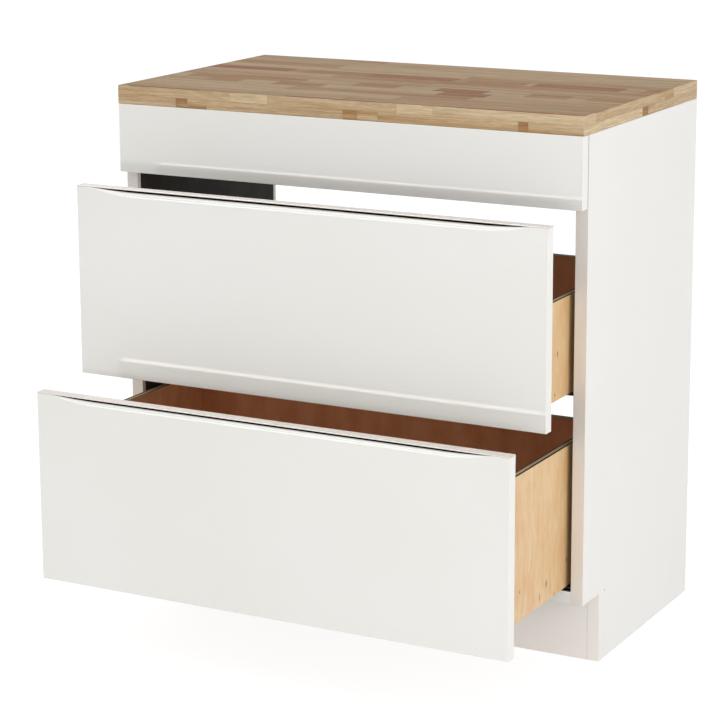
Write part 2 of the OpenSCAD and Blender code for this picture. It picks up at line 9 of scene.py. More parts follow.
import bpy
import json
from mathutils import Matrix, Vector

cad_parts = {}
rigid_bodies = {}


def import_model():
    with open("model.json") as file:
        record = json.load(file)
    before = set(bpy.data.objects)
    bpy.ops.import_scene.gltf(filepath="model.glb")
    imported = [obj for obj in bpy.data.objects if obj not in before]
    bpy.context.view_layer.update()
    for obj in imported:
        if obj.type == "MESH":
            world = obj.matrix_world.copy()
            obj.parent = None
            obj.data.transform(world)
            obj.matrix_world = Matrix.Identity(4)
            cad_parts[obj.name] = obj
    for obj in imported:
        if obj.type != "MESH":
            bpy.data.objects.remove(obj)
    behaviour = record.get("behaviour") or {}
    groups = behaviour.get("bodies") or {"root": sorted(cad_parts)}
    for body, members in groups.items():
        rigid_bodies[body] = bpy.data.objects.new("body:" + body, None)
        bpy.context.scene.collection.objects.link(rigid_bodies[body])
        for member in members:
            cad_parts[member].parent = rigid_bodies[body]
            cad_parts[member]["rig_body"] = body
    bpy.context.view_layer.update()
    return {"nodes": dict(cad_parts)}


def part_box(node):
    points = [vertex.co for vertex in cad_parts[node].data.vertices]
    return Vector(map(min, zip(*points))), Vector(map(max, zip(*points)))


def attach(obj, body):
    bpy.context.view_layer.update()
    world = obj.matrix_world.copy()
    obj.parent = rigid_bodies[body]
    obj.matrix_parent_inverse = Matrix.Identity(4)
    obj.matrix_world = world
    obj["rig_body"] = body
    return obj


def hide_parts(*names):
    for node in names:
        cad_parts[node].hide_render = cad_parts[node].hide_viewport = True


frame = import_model()

# %% Import what the lesson uses
import json
import random
from math import cos, radians, sin

import bmesh
import bpy
from mathutils import Matrix, Vector

MM = 0.001
nodes = frame["nodes"]

# %% [markdown]
# ## The camera
# The picture was taken from the right, a little above the worktop, through a long lens. The camera
# could be aimed at the object with a constraint. It is set from numbers here, because they were
# fitted to the corners of the cabinet, and a small shift keeps the upright edges nearly upright.

# %% Place the camera
CAMERA_PLACE = Vector((1.673, -3.16175, 1.286))
CAMERA_AZIMUTH = radians(28.16)
CAMERA_DROP = radians(12.14)
CAMERA_ROLL = radians(-0.27)
LENS_MM = 121.4
CAMERA_SHIFT = -0.1
CABINET_MIDDLE = Vector((0, 0, 0.4))

forward = Vector((
    -sin(CAMERA_AZIMUTH) * cos(CAMERA_DROP),
    cos(CAMERA_AZIMUTH) * cos(CAMERA_DROP),
    -sin(CAMERA_DROP)))
right = Vector((cos(CAMERA_AZIMUTH), sin(CAMERA_AZIMUTH), 0))
up = right.cross(forward)
rolled_right = right * cos(CAMERA_ROLL) + up * sin(CAMERA_ROLL)
rolled_up = up * cos(CAMERA_ROLL) - right * sin(CAMERA_ROLL)
camera_data = bpy.data.cameras.new("catalogue_camera")
camera_data.lens = LENS_MM
camera_data.shift_y = CAMERA_SHIFT
camera = bpy.data.objects.new("catalogue_camera", camera_data)
turn = Matrix((rolled_right, rolled_up, -forward)).transposed()
camera.matrix_world = Matrix.Translation(CAMERA_PLACE) @ turn.to_4x4()
bpy.context.scene.collection.objects.link(camera)
bpy.context.scene.camera = camera
distance = (CAMERA_PLACE - CABINET_MIDDLE).length
print("Lens", LENS_MM, "mm, camera", round(distance, 2), "m away")

# %% [markdown]
# ## A few tools for materials
# Each finish is made of nodes. Colours are written as they look on screen and turned to the linear
# values that Blender mixes light with. One function adds a node with its settings and its links, so
# that a recipe reads from top to bottom. A node that is given as a value is linked by its first
# output that is switched on.

# %% Colours and nodes
def linear(code):
    """The linear colour of a screen colour such as #E6E5E1."""
    parts = [int(code[i:i + 2], 16) / 255 for i in (1, 3, 5)]
    return tuple(
        p / 12.92 if p <= 0.04045 else ((p + 0.055) / 1.055) ** 2.4 for p in parts) + (1.0,)


def switched_on(sockets, key):
    """The socket of that name or number, among those that the node's settings switch on."""
    shown = [s for s in sockets if s.enabled]
    return shown[key] if isinstance(key, int) else next(s for s in shown if s.name == key)


def add(tree, kind, values=None, **settings):
    """Adds a node. Settings are its properties, and values are numbers or links for its inputs."""
    made = tree.nodes.new(kind)
    for name, value in settings.items():
        setattr(made, name, value)
    for key, value in (values or {}).items():
        target = switched_on(made.inputs, key)
        if isinstance(value, bpy.types.Node):
            value = switched_on(value.outputs, 0)
        if isinstance(value, bpy.types.NodeSocket):
            tree.links.new(value, target)
        else:
            target.default_value = value
    return made


def feed(tree, shader, socket, made):
    """Links one of the shader's inputs to a node's first output that is switched on."""
    tree.links.new(switched_on(made.outputs, 0), shader.inputs[socket])


def start_material(name, colour, roughness, metallic=0.0, **sockets):
    """A material with one Principled shader, and Object coordinates in metres."""
    material = bpy.data.materials.new(name)
    material.use_nodes = True
    material.diffuse_color = linear(colour)
    tree = material.node_tree
    shader = next(n for n in tree.nodes if n.type == "BSDF_PRINCIPLED")
    shader.inputs["Base Color"].default_value = linear(colour)
    shader.inputs["Roughness"].default_value = roughness
    shader.inputs["Metallic"].default_value = metallic
    for socket, value in sockets.items():
        shader.inputs[socket.replace("_", " ")].default_value = value
    place = add(tree, "ShaderNodeTexCoord").outputs["Object"]
    return material, tree, shader, place


print("sRGB #808080 is", round(linear("#808080")[0], 4), "in linear light")

# %% [markdown]
# ### Recipes that several finishes share
# Many surfaces need the same three things: a colour that drifts a little over the board, a relief
# far too fine to model, and a gloss that differs from spot to spot. Each pattern's size is a real
# one in millimetres, and a stretched pattern stands for grain. The recipes could be node groups,
# but plain functions serve just as well.

# %% Drifting colour, fine relief and uneven gloss
def stretched(tree, place, grain_mm):
    """Coordinates in which one step is the size of the grain along each axis."""
    return add(tree, "ShaderNodeMapping", {
        "Vector": place, "Scale": [1 / (size * MM) for size in grain_mm]})


def drift(tree, place, grain_mm, low, high, detail=2.0, contrast=(0.35, 0.65)):
    """A colour that wanders between two tones in patches of the given size."""
    cloud = add(tree, "ShaderNodeTexNoise", {
        "Vector": stretched(tree, place, grain_mm), "Scale": 1.0, "Detail": detail})
    share = add(tree, "ShaderNodeMapRange", {
        "Value": cloud, "From Min": contrast[0], "From Max": contrast[1]})
    return add(tree, "ShaderNodeMix", {
        "Factor": share, "A": linear(low), "B": linear(high)}, data_type="RGBA")


def relief(tree, shader, place, grain_mm, height_mm):
    """A bump of the given grain and height, fed to the shader's normal."""
    cloud = add(tree, "ShaderNodeTexNoise", {
        "Vector": stretched(tree, place, grain_mm), "Scale": 1.0, "Detail": 2.0})
    bump = add(tree, "ShaderNodeBump", {
        "Height": cloud, "Distance": height_mm * MM, "Strength": 1.0})
    feed(tree, shader, "Normal", bump)


def uneven_gloss(tree, shader, place, grain_mm, low, high):
    """A roughness that differs from spot to spot, as handling and cleaning leave it."""
    cloud = add(tree, "ShaderNodeTexNoise", {
        "Vector": stretched(tree, place, grain_mm), "Scale": 1.0, "Detail": 3.0})
    rough = add(tree, "ShaderNodeMapRange", {
        "Value": cloud, "From Min": 0.3, "From Max": 0.7, "To Min": low, "To Max": high})
    feed(tree, shader, "Roughness", rough)


print("Recipes:", [tool.__name__ for tool in (drift, relief, uneven_gloss)])

# %% [markdown]
# ## The white finishes
# The fronts are fibreboard sprayed with high-gloss lacquer and polished, which mirrors the room and
# keeps a faint orange peel. The side panels and the kick board wear a satin foil; the kick board's
# is written paler, painted light that lifts the shade under the drawers. The carcass boards have a
# pale edge band or foil on their rims and charcoal melamine on their inner faces, which is painted
# shade for the dark inside of the carcass. One white for all would do from far away, but each
# finish shines in its own way.

# %% Gloss lacquer, foil, edge band and melamine
def make_gloss_lacquer():
    # Polyurethane lacquer on fibreboard, polished: a clear coat on smooth white, waves 5 mm wide.
    material, tree, shader, place = start_material(
        "gloss_lacquer", "#E7E6E2", 0.12, Coat_Weight=1.0, Coat_Roughness=0.015, Coat_IOR=1.7)
    tone = drift(tree, place, (420, 420, 300), "#E4E3DE", "#E8E7E3")
    feed(tree, shader, "Base Color", tone)
    peel = add(tree, "ShaderNodeTexNoise", {
        "Vector": stretched(tree, place, (5, 5, 5)), "Scale": 1.0, "Detail": 1.0})
    bump = add(tree, "ShaderNodeBump", {"Height": peel, "Distance": 0.0025 * MM, "Strength": 1.0})
    feed(tree, shader, "Coat Normal", bump)
    return material


def make_foil(name, low, high):
    # Satin polypropylene foil pressed on chipboard: soft sheen, a pebble grain drawn 1.2 mm wide.
    material, tree, shader, place = start_material(name, low, 0.42)
    tone = drift(tree, place, (300, 300, 500), low, high)
    feed(tree, shader, "Base Color", tone)
    uneven_gloss(tree, shader, place, (90, 90, 160), 0.38, 0.46)
    relief(tree, shader, place, (1.2, 1.2, 1.2), 0.012)
    return material


def make_edge_band():
    # A melamine edge band, ironed on: pale warm grey, half gloss, faint rolling lines 1 mm apart.
    material, tree, shader, place = start_material(
        "edge_band", "#E6E0DA", 0.22, Coat_Weight=0.5, Coat_Roughness=0.08)
    tone = drift(tree, place, (40, 40, 240), "#E3DCD4", "#E9E4DE")
    feed(tree, shader, "Base Color", tone)
    relief(tree, shader, place, (1, 1, 30), 0.006)
    return material


def make_charcoal_painted_shade():
    # Resin-soaked paper pressed on chipboard, written near black as painted shade for the dark inside
    # of the carcass: matt, a grain of 2 mm pores standing up.
    material, tree, shader, place = start_material(
        "charcoal_melamine", "#2E2A24", 0.6, Specular_IOR_Level=0.12)
    tone = drift(tree, place, (2, 2, 25), "#2A2621", "#332F28", detail=3.0)
    feed(tree, shader, "Base Color", tone)
    uneven_gloss(tree, shader, place, (60, 60, 60), 0.54, 0.66)
    relief(tree, shader, place, (0.8, 0.8, 6), 0.02)
    return material


gloss_lacquer = make_gloss_lacquer()
side_foil = make_foil("side_foil", "#EBEAE7", "#EEEDEA")
# Painted light: the kick foil is written paler than the side foil, to lift the shade under the
# drawers.
kick_foil = make_foil("kick_foil", "#F6F1EC", "#F8F4F0")
edge_band = make_edge_band()
charcoal_melamine = make_charcoal_painted_shade()
carcass_finishes = (side_foil, kick_foil, edge_band, charcoal_melamine)
print("Fronts:", gloss_lacquer.name, "and carcass:", [m.name for m in carcass_finishes])

# %% [markdown]
# ## Butcher block
# The top is glued up from short hardwood staves. The rows run along the worktop, and every stave
# has its own tone and its own grain. Its edges carry two thin rows of the same wood, yet the top's
# tones are written darker than the edges': painted shade of a top that gets less light than the
# edges. A texture of random bricks would do from far away. Here the staves are cut into the mesh
# later on, and each face holds its stave's tone, its random number and a UV map in metres, so the
# shader only draws grain, pores and the thin glue lines.

# %% Butcher-block material
STAVE_MAP = "stave_map"
STAVE_TONE = "stave_tone"
STAVE_NUMBER = "stave_number"
STAVES_APART = 40.0
GLUE_LINE = 0.35 * MM


def tone_ramp(tree, share, tones, interpolation="LINEAR"):
    """A colour ramp through (position, colour) pairs."""
    ramp = add(tree, "ShaderNodeValToRGB", {"Fac": share})
    ramp.color_ramp.interpolation = interpolation
    while len(ramp.color_ramp.elements) < len(tones):
        ramp.color_ramp.elements.new(0.5)
    for element, (position, code) in zip(ramp.color_ramp.elements, tones):
        element.position = position
        element.color = linear(code)
    return ramp


def shaded(tree, colour, shade):
    """The colour made lighter or darker by a grey share."""
    grey = add(tree, "ShaderNodeCombineColor", {"Red": shade, "Green": shade, "Blue": shade})
    return add(tree, "ShaderNodeMix", {
        "Factor": 1.0, "A": colour, "B": grey}, data_type="RGBA", blend_type="MULTIPLY")


def make_butcher_block(name, tones, streaks):
    # Oiled hardwood, sanded: matt satin, grain bands 14 mm wide, streaks drawn 1 to 9 mm wide.
    material, tree, shader, _ = start_material(name, tones[2][1], 0.55, Specular_IOR_Level=0.05)
    flat = add(tree, "ShaderNodeUVMap", uv_map=STAVE_MAP)
    number = add(tree, "ShaderNodeAttribute", attribute_name=STAVE_NUMBER).outputs["Fac"]
    tone = add(tree, "ShaderNodeAttribute", attribute_name=STAVE_TONE).outputs["Fac"]
    away = add(tree, "ShaderNodeMath", {0: number, 1: STAVES_APART}, operation="MULTIPLY")
    apart = add(tree, "ShaderNodeCombineXYZ", {"X": away, "Y": away, "Z": away})
    grain_place = add(tree, "ShaderNodeVectorMath", {0: flat, 1: apart}, operation="ADD")

    bands = add(tree, "ShaderNodeTexNoise", {
        "Vector": stretched(tree, grain_place, (260, 14, 1000)), "Scale": 1.0, "Detail": 3.0,
        "Distortion": 0.4})
    lean = add(tree, "ShaderNodeMapRange", {
        "Value": bands, "From Min": 0.3, "From Max": 0.7, "To Min": -0.3, "To Max": 0.3})
    leaning = add(tree, "ShaderNodeMath", {0: tone, 1: lean}, operation="ADD")
    colour = tone_ramp(tree, leaning, tones)
    for length_mm, width_mm, low, high in streaks:
        cloud = add(tree, "ShaderNodeTexNoise", {
            "Vector": stretched(tree, grain_place, (length_mm, width_mm, 1000)),
            "Scale": 1.0, "Detail": 3.0, "Distortion": 0.3})
        shade = add(tree, "ShaderNodeMapRange", {
            "Value": cloud, "From Min": 0.32, "From Max": 0.68, "To Min": low, "To Max": high})
        colour = shaded(tree, colour, shade)

    axes = add(tree, "ShaderNodeSeparateXYZ", {"Vector": flat})
    near_end = add(tree, "ShaderNodeMath", {
        0: axes.outputs["X"], 1: axes.outputs["Y"]}, operation="MINIMUM")
    glue = add(tree, "ShaderNodeMapRange", {
        "Value": near_end, "From Min": GLUE_LINE, "From Max": 2 * GLUE_LINE,
        "To Min": 0.4, "To Max": 0.0})
    colour = add(tree, "ShaderNodeMix", {
        "Factor": glue, "A": colour, "B": linear("#6B4A30")}, data_type="RGBA")
    feed(tree, shader, "Base Color", colour)

    pores = add(tree, "ShaderNodeTexNoise", {
        "Vector": stretched(tree, grain_place, (9, 0.6, 1000)), "Scale": 1.0, "Detail": 2.0})
    bump = add(tree, "ShaderNodeBump", {"Height": pores, "Distance": 0.03 * MM, "Strength": 1.0})
    feed(tree, shader, "Normal", bump)
    rough = add(tree, "ShaderNodeMapRange", {
        "Value": pores, "From Min": 0.3, "From Max": 0.7, "To Min": 0.36, "To Max": 0.5})
    feed(tree, shader, "Roughness", rough)
    return material


TONE_STEPS = (0.0, 0.3, 0.55, 0.75, 1.0)
# Painted shade: the top's tones are darker than the edges', though both are the same wood.
TOP_TONES_PAINTED_SHADE = list(zip(TONE_STEPS, ("#B99B74", "#B09069", "#A47F55", "#A37540", "#905725")))
EDGE_TONES = list(zip(TONE_STEPS, ("#D6BF9C", "#CEB491", "#C6AA86", "#BC9C73", "#A67C54")))
# Each streak is (length, width, darkest, lightest), the first two in millimetres.
TOP_STREAKS = [(240, 9, 0.84, 1.1), (80, 3, 0.88, 1.08), (22, 1.1, 0.84, 1.08)]
EDGE_STREAKS = [(120, 5, 0.88, 1.08), (35, 1.6, 0.8, 1.1), (14, 0.8, 0.85, 1.08)]
block_top_painted_shade = make_butcher_block("butcher_block_top", TOP_TONES_PAINTED_SHADE, TOP_STREAKS)
block_edge = make_butcher_block("butcher_block_edge", EDGE_TONES, EDGE_STREAKS)
print("Butcher block:", len(TOP_TONES_PAINTED_SHADE), "tones on the top and", len(EDGE_TONES), "on the edges")

# %% [markdown]
# ## The drawer boxes' plywood
# The boxes are film-faced birch plywood. Outside is a peeled birch veneer under clear coat, with
# faint upright figure, small flecks and pin knots. Inside is a brown film. The cut rims show the
# plies as stripes. A texture photo could show all this, but nodes keep it sharp at any distance.

# %% Birch veneer with pin knots
KNOT_HALO = 2.4


def knot_distance(tree, place, knots):
    """Distance to the nearest knot, where 1 is its rim. A knot is (y, z, width, height) in mm."""
    nearest = None
    for y, z, width, height in knots:
        centred = add(tree, "ShaderNodeVectorMath", {
            0: place, 1: (0, y * MM, z * MM)}, operation="SUBTRACT")
        sized = add(tree, "ShaderNodeVectorMath", {
            0: centred, 1: (0, 2 / (width * MM), 2 / (height * MM))}, operation="MULTIPLY")
        length = add(tree, "ShaderNodeVectorMath", {0: sized}, operation="LENGTH").outputs["Value"]
        nearest = length if nearest is None else add(
            tree, "ShaderNodeMath", {0: nearest, 1: length}, operation="MINIMUM")
    return nearest


def make_birch(name, knots=(), core_colour="#6E4526"):
    # Rotary-cut birch, sanded and clear coated: pale gold, satin, wavy figure 9 mm wide and
    # flecks of 1.4 mm.
    material, tree, shader, place = start_material(name, "#E0BC8C", 0.36)
    wander = add(tree, "ShaderNodeTexNoise", {
        "Vector": stretched(tree, place, (70, 70, 90)), "Scale": 1.0, "Detail": 2.0})
    pulled = add(tree, "ShaderNodeVectorMath", {
        0: wander.outputs["Color"], "Scale": 45 * MM}, operation="SCALE")
    waved = add(tree, "ShaderNodeVectorMath", {0: place, 1: pulled}, operation="ADD")
    figure = drift(tree, waved, (9, 9, 60), "#DBB27E", "#E5C598", detail=4.0, contrast=(0.3, 0.7))
    warm = add(tree, "ShaderNodeTexNoise", {
        "Vector": stretched(tree, place, (45, 45, 70)), "Scale": 1.0, "Detail": 2.0})
    warmed = add(tree, "ShaderNodeMapRange", {
        "Value": warm, "From Min": 0.5, "From Max": 0.75, "To Min": 0.0, "To Max": 0.55})
    figure = add(tree, "ShaderNodeMix", {
        "Factor": warmed, "A": figure, "B": linear("#D8A46C")}, data_type="RGBA")
    flecks = add(tree, "ShaderNodeTexNoise", {
        "Vector": stretched(tree, place, (1.4, 1.4, 9)), "Scale": 1.0, "Detail": 1.0})
    spotted = add(tree, "ShaderNodeMapRange", {
        "Value": flecks, "From Min": 0.66, "From Max": 0.8, "To Min": 0.0, "To Max": 0.5})
    colour = add(tree, "ShaderNodeMix", {
        "Factor": spotted, "A": figure, "B": linear("#B98F5C")}, data_type="RGBA")
    if knots:
        distance = knot_distance(tree, place, knots)
        halo = add(tree, "ShaderNodeMapRange", {
            "Value": distance, "From Min": 1.0, "From Max": KNOT_HALO,
            "To Min": 0.45, "To Max": 0.0})
        core = add(tree, "ShaderNodeMapRange", {
            "Value": distance, "From Min": 0.7, "From Max": 1.1, "To Min": 1.0, "To Max": 0.0})
        colour = add(tree, "ShaderNodeMix", {
            "Factor": halo, "A": colour, "B": linear("#B07F4A")}, data_type="RGBA")
        colour = add(tree, "ShaderNodeMix", {
            "Factor": core, "A": colour, "B": linear(core_colour)}, data_type="RGBA")
    feed(tree, shader, "Base Color", colour)
    uneven_gloss(tree, shader, place, (30, 30, 120), 0.3, 0.42)
    relief(tree, shader, place, (0.7, 0.7, 12), 0.015)
    return material


UPPER_KNOTS = [(-119.5, 481.7, 2.6, 7.5), (-127.7, 424.6, 2.2, 5.0)]
LOWER_KNOTS = [
    (-78.7, 169.6, 3.4, 6.0), (-149.6, 155.3, 4.0, 9.0), (-172.2, 141.4, 2.2, 9.0),
    (-122.0, 130.6, 2.4, 6.0), (-240.3, 170.5, 3.0, 4.0)]
birch_plain = make_birch("birch_veneer")
birch_upper = make_birch("birch_veneer_upper_right", UPPER_KNOTS)
birch_lower = make_birch("birch_veneer_lower_right", LOWER_KNOTS, core_colour="#9A6A3E")
print("Pin knots:", len(UPPER_KNOTS), "on the upper box and", len(LOWER_KNOTS), "on the lower one")


# %% Brown film and ply rims
def make_brown_film():
    # Phenolic film pressed hot on the birch: warm brown, satin, the wood's figure shows faintly
    # through it, as patches 26 mm wide.
    material, tree, shader, place = start_material(
        "brown_film", "#DBA376", 0.42, Specular_IOR_Level=0.45)
    figure = drift(tree, place, (26, 26, 60), "#D49C6F", "#E2AC80", detail=5.0)
    feed(tree, shader, "Base Color", figure)
    uneven_gloss(tree, shader, place, (50, 50, 90), 0.36, 0.48)
    relief(tree, shader, place, (1, 1, 10), 0.01)
    return material


PLY_STRIPES = [
    (0.0, "#3A2415"), (0.06, "#1F130B"), (0.26, "#D6BE94"), (0.4, "#9A8159"), (0.46, "#D6BE94"),
    (0.64, "#1B110A"), (0.88, "#8F7A5B"), (0.94, "#D9BA8C")]


def make_ply_rim(name, axis, inside, outside):
    # Sawn birch plywood: light and dark plies 1 to 3 mm thick, torn end grain as 1.5 mm dots.
    material, tree, shader, place = start_material(name, "#A08C6C", 0.7)
    across = add(tree, "ShaderNodeSeparateXYZ", {"Vector": place}).outputs[axis]
    if axis == "X":
        across = add(tree, "ShaderNodeMath", {0: across}, operation="ABSOLUTE")
    depth = add(tree, "ShaderNodeMapRange", {
        "Value": across, "From Min": inside, "From Max": outside})
    ramp = tone_ramp(tree, depth, PLY_STRIPES, "CONSTANT")
    dots = add(tree, "ShaderNodeTexNoise", {
        "Vector": stretched(tree, place, (1.5, 1.5, 1.5)), "Scale": 1.0, "Detail": 1.0})
    shade = add(tree, "ShaderNodeMapRange", {
        "Value": dots, "From Min": 0.35, "From Max": 0.65, "To Min": 0.72, "To Max": 1.15})
    colour = shaded(tree, ramp, shade)
    feed(tree, shader, "Base Color", colour)
    bump = add(tree, "ShaderNodeBump", {"Height": dots, "Distance": 0.05 * MM, "Strength": 1.0})
    feed(tree, shader, "Normal", bump)
    return material


brown_film = make_brown_film()
rims = {}
box_low, box_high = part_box("upper_box_right")
rims["side"] = make_ply_rim("ply_rim_sides", "X", box_low.x, box_high.x)
for drawer in ("upper", "lower"):
    for board in ("front", "back"):
        low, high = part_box(f"{drawer}_box_{board}")
        outwards = (high.y, low.y) if board == "front" else (low.y, high.y)
        rims[drawer, board] = make_ply_rim(f"ply_rim_{drawer}_{board}", "Y", *outwards)
print("Ply rims:", len(rims), "boards", round((box_high.x - box_low.x) / MM, 1), "mm thick")

# %% [markdown]
# ## Metals, plastics and solid wood
# The pull strips are polished aluminium that mirrors the front above. The slides, brackets, cam
# locks and screws are zinc-plated steel, which shows a faint spangle. Rollers are nylon, catches,
# pads and bumpers are moulded plastic, and the glue blocks and dowels are solid wood. Most of them
# sit in the dark, so one recipe serves all plastics and one all solid wood.

# %% Polished strip, zinc-plated steel, plastics and solid wood
def make_polished_strip():
    # Extruded aluminium, buffed lengthwise: a near mirror with hairlines drawn 0.8 mm apart.
    material, tree, shader, place = start_material(
        "polished_aluminium", "#DAD3CD", 0.16, metallic=1.0)
    uneven_gloss(tree, shader, place, (140, 2, 2), 0.13, 0.19)
    relief(tree, shader, place, (120, 0.8, 0.8), 0.0006)
    return material


def make_zinc_steel():
    # Galvanised strip, rolled then pressed: grey metal, spangle crystals about 7 mm wide.
    material, tree, shader, place = start_material(
        "zinc_plated_steel", "#B9BDBF", 0.34, metallic=1.0)
    crystals = add(tree, "ShaderNodeTexVoronoi", {
        "Vector": stretched(tree, place, (7, 7, 7)), "Scale": 1.0})
    pick = add(tree, "ShaderNodeSeparateColor", {"Color": crystals.outputs["Color"]})
    tone = add(tree, "ShaderNodeMix", {
        "Factor": pick, "A": linear("#ADB1B3"), "B": linear("#C2C6C8")}, data_type="RGBA")
    feed(tree, shader, "Base Color", tone)
    uneven_gloss(tree, shader, place, (12, 12, 12), 0.28, 0.42)
    relief(tree, shader, place, (0.6, 20, 0.6), 0.003)
    return material


GLOSS_SPREAD = 0.05


def make_moulded(name, colour, low, high, roughness, texture_mm, **sockets):
    # Injection-moulded plastic: even colour with a faint flow drift and an eroded-mould texture.
    material, tree, shader, place = start_material(name, colour, roughness, **sockets)
    tone = drift(tree, place, (25, 25, 25), low, high)
    feed(tree, shader, "Base Color", tone)
    uneven_gloss(
        tree, shader, place, (8, 8, 8), roughness - GLOSS_SPREAD, roughness + GLOSS_SPREAD)
    relief(tree, shader, place, (texture_mm,) * 3, 0.01)
    return material


def make_solid_wood(name, axis, early, late, ring_mm, roughness):
    # Sawn or turned wood: growth rings across the stock, fibres drawn 1 mm wide along it.
    material, tree, shader, place = start_material(name, early, roughness)
    ring_grain = [40 * ring_mm if letter == axis else ring_mm for letter in "XYZ"]
    rings = drift(tree, place, ring_grain, early, late, contrast=(0.42, 0.58))
    feed(tree, shader, "Base Color", rings)
    fibre_grain = [20.0 if letter == axis else 1.0 for letter in "XYZ"]
    relief(tree, shader, place, fibre_grain, 0.06)
    return material


polished_strip = make_polished_strip()
zinc_steel = make_zinc_steel()
nylon = make_moulded(
    "white_nylon", "#E6E3DB", "#E2DFD6", "#EAE7E0", 0.38, 0.6, Subsurface_Weight=0.1)
grey_plastic = make_moulded("grey_abs", "#8D9092", "#888B8D", "#929597", 0.5, 0.8)
# Painted shade: the liner and the scoop's trough are near black for the dark deep in the scoop.
black_shade_liner = make_moulded(
    "black_pvc_liner", "#070707", "#050505", "#0A0A0A", 0.6, 0.7, Specular_IOR_Level=0.1)
softwood = make_solid_wood("sawn_pine", "Z", "#DDBF8D", "#C79F66", 4.0, 0.75)
beech_dowel = make_solid_wood("turned_beech", "X", "#DAB98A", "#CDA878", 1.5, 0.6)
fitting_finishes = (
    polished_strip, zinc_steel, nylon, grey_plastic, black_shade_liner, softwood, beech_dowel)
print("Fittings:", [m.name for m in fitting_finishes])

# %% [markdown]
# ## Boards with eased edges
# A CAD board has perfectly sharp edges, and no real one does: its edge band is scraped, its lacquer
# rounds over, its veneer is sanded. A Bevel modifier would round the screw holes too. So a copy of
# each CAD mesh is joined up, its flat faces are merged, and only its long edges are eased. The copy
# then gets a finish for each face, and stands in for the CAD node.

# %% Copy a CAD node and ease its long edges
EDGE_STEPS = 3
SHARP = radians(32)
FLAT = radians(0.2)
# In metres: corners that are this close are one, and a cut this close goes through a corner.
SAME_PLACE = 1e-6
ON_THE_CUT = 1e-7


def merged_copy(name):
    """A bmesh copy of a CAD node, with its corners joined and its flat faces merged."""
    form = bmesh.new()
    form.from_mesh(nodes[name].data)
    bmesh.ops.remove_doubles(form, verts=form.verts, dist=SAME_PLACE)
    bmesh.ops.dissolve_limit(
        form, angle_limit=FLAT, verts=form.verts, edges=form.edges, use_dissolve_boundaries=False)
    return form


def ease_edges(form, radius_mm, least_mm=14.0, spared=lambda edge: False):
    """Rounds the long sharp edges of a bmesh, apart from the spared ones."""
    long_edges = [
        e for e in form.edges
        if len(e.link_faces) == 2 and e.calc_face_angle() > SHARP
        and e.calc_length() > least_mm * MM and not spared(e)]
    bmesh.ops.bevel(
        form, geom=long_edges, offset=radius_mm * MM, segments=EDGE_STEPS, profile=0.5,
        affect="EDGES", clamp_overlap=True)
    form.normal_update()
    return form


def eased_copy(name, radius_mm, least_mm=14.0):
    """A merged copy of a CAD node with its long sharp edges rounded."""
    return ease_edges(merged_copy(name), radius_mm, least_mm)


example = merged_copy("worktop")
triangles = len(nodes["worktop"].data.polygons)
print("The worktop:", triangles, "loose triangles, merged to", len(example.faces), "faces")
example.free()


# %% Cut faces, choose finishes and place a piece
SUFFIX = "_finished"
ROUNDED_WIDTH = 2.2 * MM
# A face looks along an axis when its normal has more than the first share there, and straight
# along it when it has more than the second, which leaves out the eased rims.
LOOKS_ALONG = 0.7
LOOKS_STRAIGHT = 0.9


def along_axis(number, length=1):
    """A vector of that length along axis number 0, 1 or 2."""
    return Vector([length * (i == number) for i in range(3)])


def cut_across(form, faces, axis, place):
    """Cuts only the given faces at a place along an axis."""
    around = set(faces)
    around.update(e for f in faces for e in f.edges)
    around.update(v for f in faces for v in f.verts)
    direction = along_axis("XYZ".index(axis))
    bmesh.ops.bisect_plane(
        form, geom=list(around), dist=ON_THE_CUT, plane_co=direction * place, plane_no=direction)


def place_piece(name, mesh):
    """Links a finished mesh, keeps its corners crisp and hands it to the CAD node's body."""
    piece = bpy.data.objects.new(name + SUFFIX, mesh)
    bpy.context.scene.collection.objects.link(piece)
    smooth = [face.use_smooth for face in mesh.polygons]
    mesh.set_sharp_from_angle(angle=SHARP)
    mesh.polygons.foreach_set("use_smooth", smooth)
    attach(piece, nodes[name]["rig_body"])
    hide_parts(name)
    return piece


def stand_in(name, form, choose, materials):
    """Turns a bmesh into a piece that stands for a CAD node. choose(face) numbers its finish."""
    for face in form.faces:
        face.material_index = choose(face)
        face.smooth = 2 * face.calc_area() / face.calc_perimeter() < ROUNDED_WIDTH
    mesh = bpy.data.meshes.new(name + SUFFIX)
    form.to_mesh(mesh)
    form.free()
    for material in materials:
        mesh.materials.append(material)
    return place_piece(name, mesh)


def one_finish(face):
    """Every face takes the first finish."""
    return 0


print("Helpers:", [tool.__name__ for tool in (cut_across, place_piece, stand_in)])

# %% [markdown]
# ### The carcass
# Outside, the side panels are white. Inside they are charcoal, painted shade for the dark inside of
# the carcass, with a narrow pale strip of edge band along the front and the rear edge. The other
# boards are charcoal inside too, the same painted shade, with pale rims. A scraper eases their edges
# by about half a millimetre. Plain boxes would look alike from the front, but the copies of the CAD
# boards keep their notches and their holes.

# %% Side panels
LAP = 8 * MM
KICK_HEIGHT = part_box("kick_board")[1].z


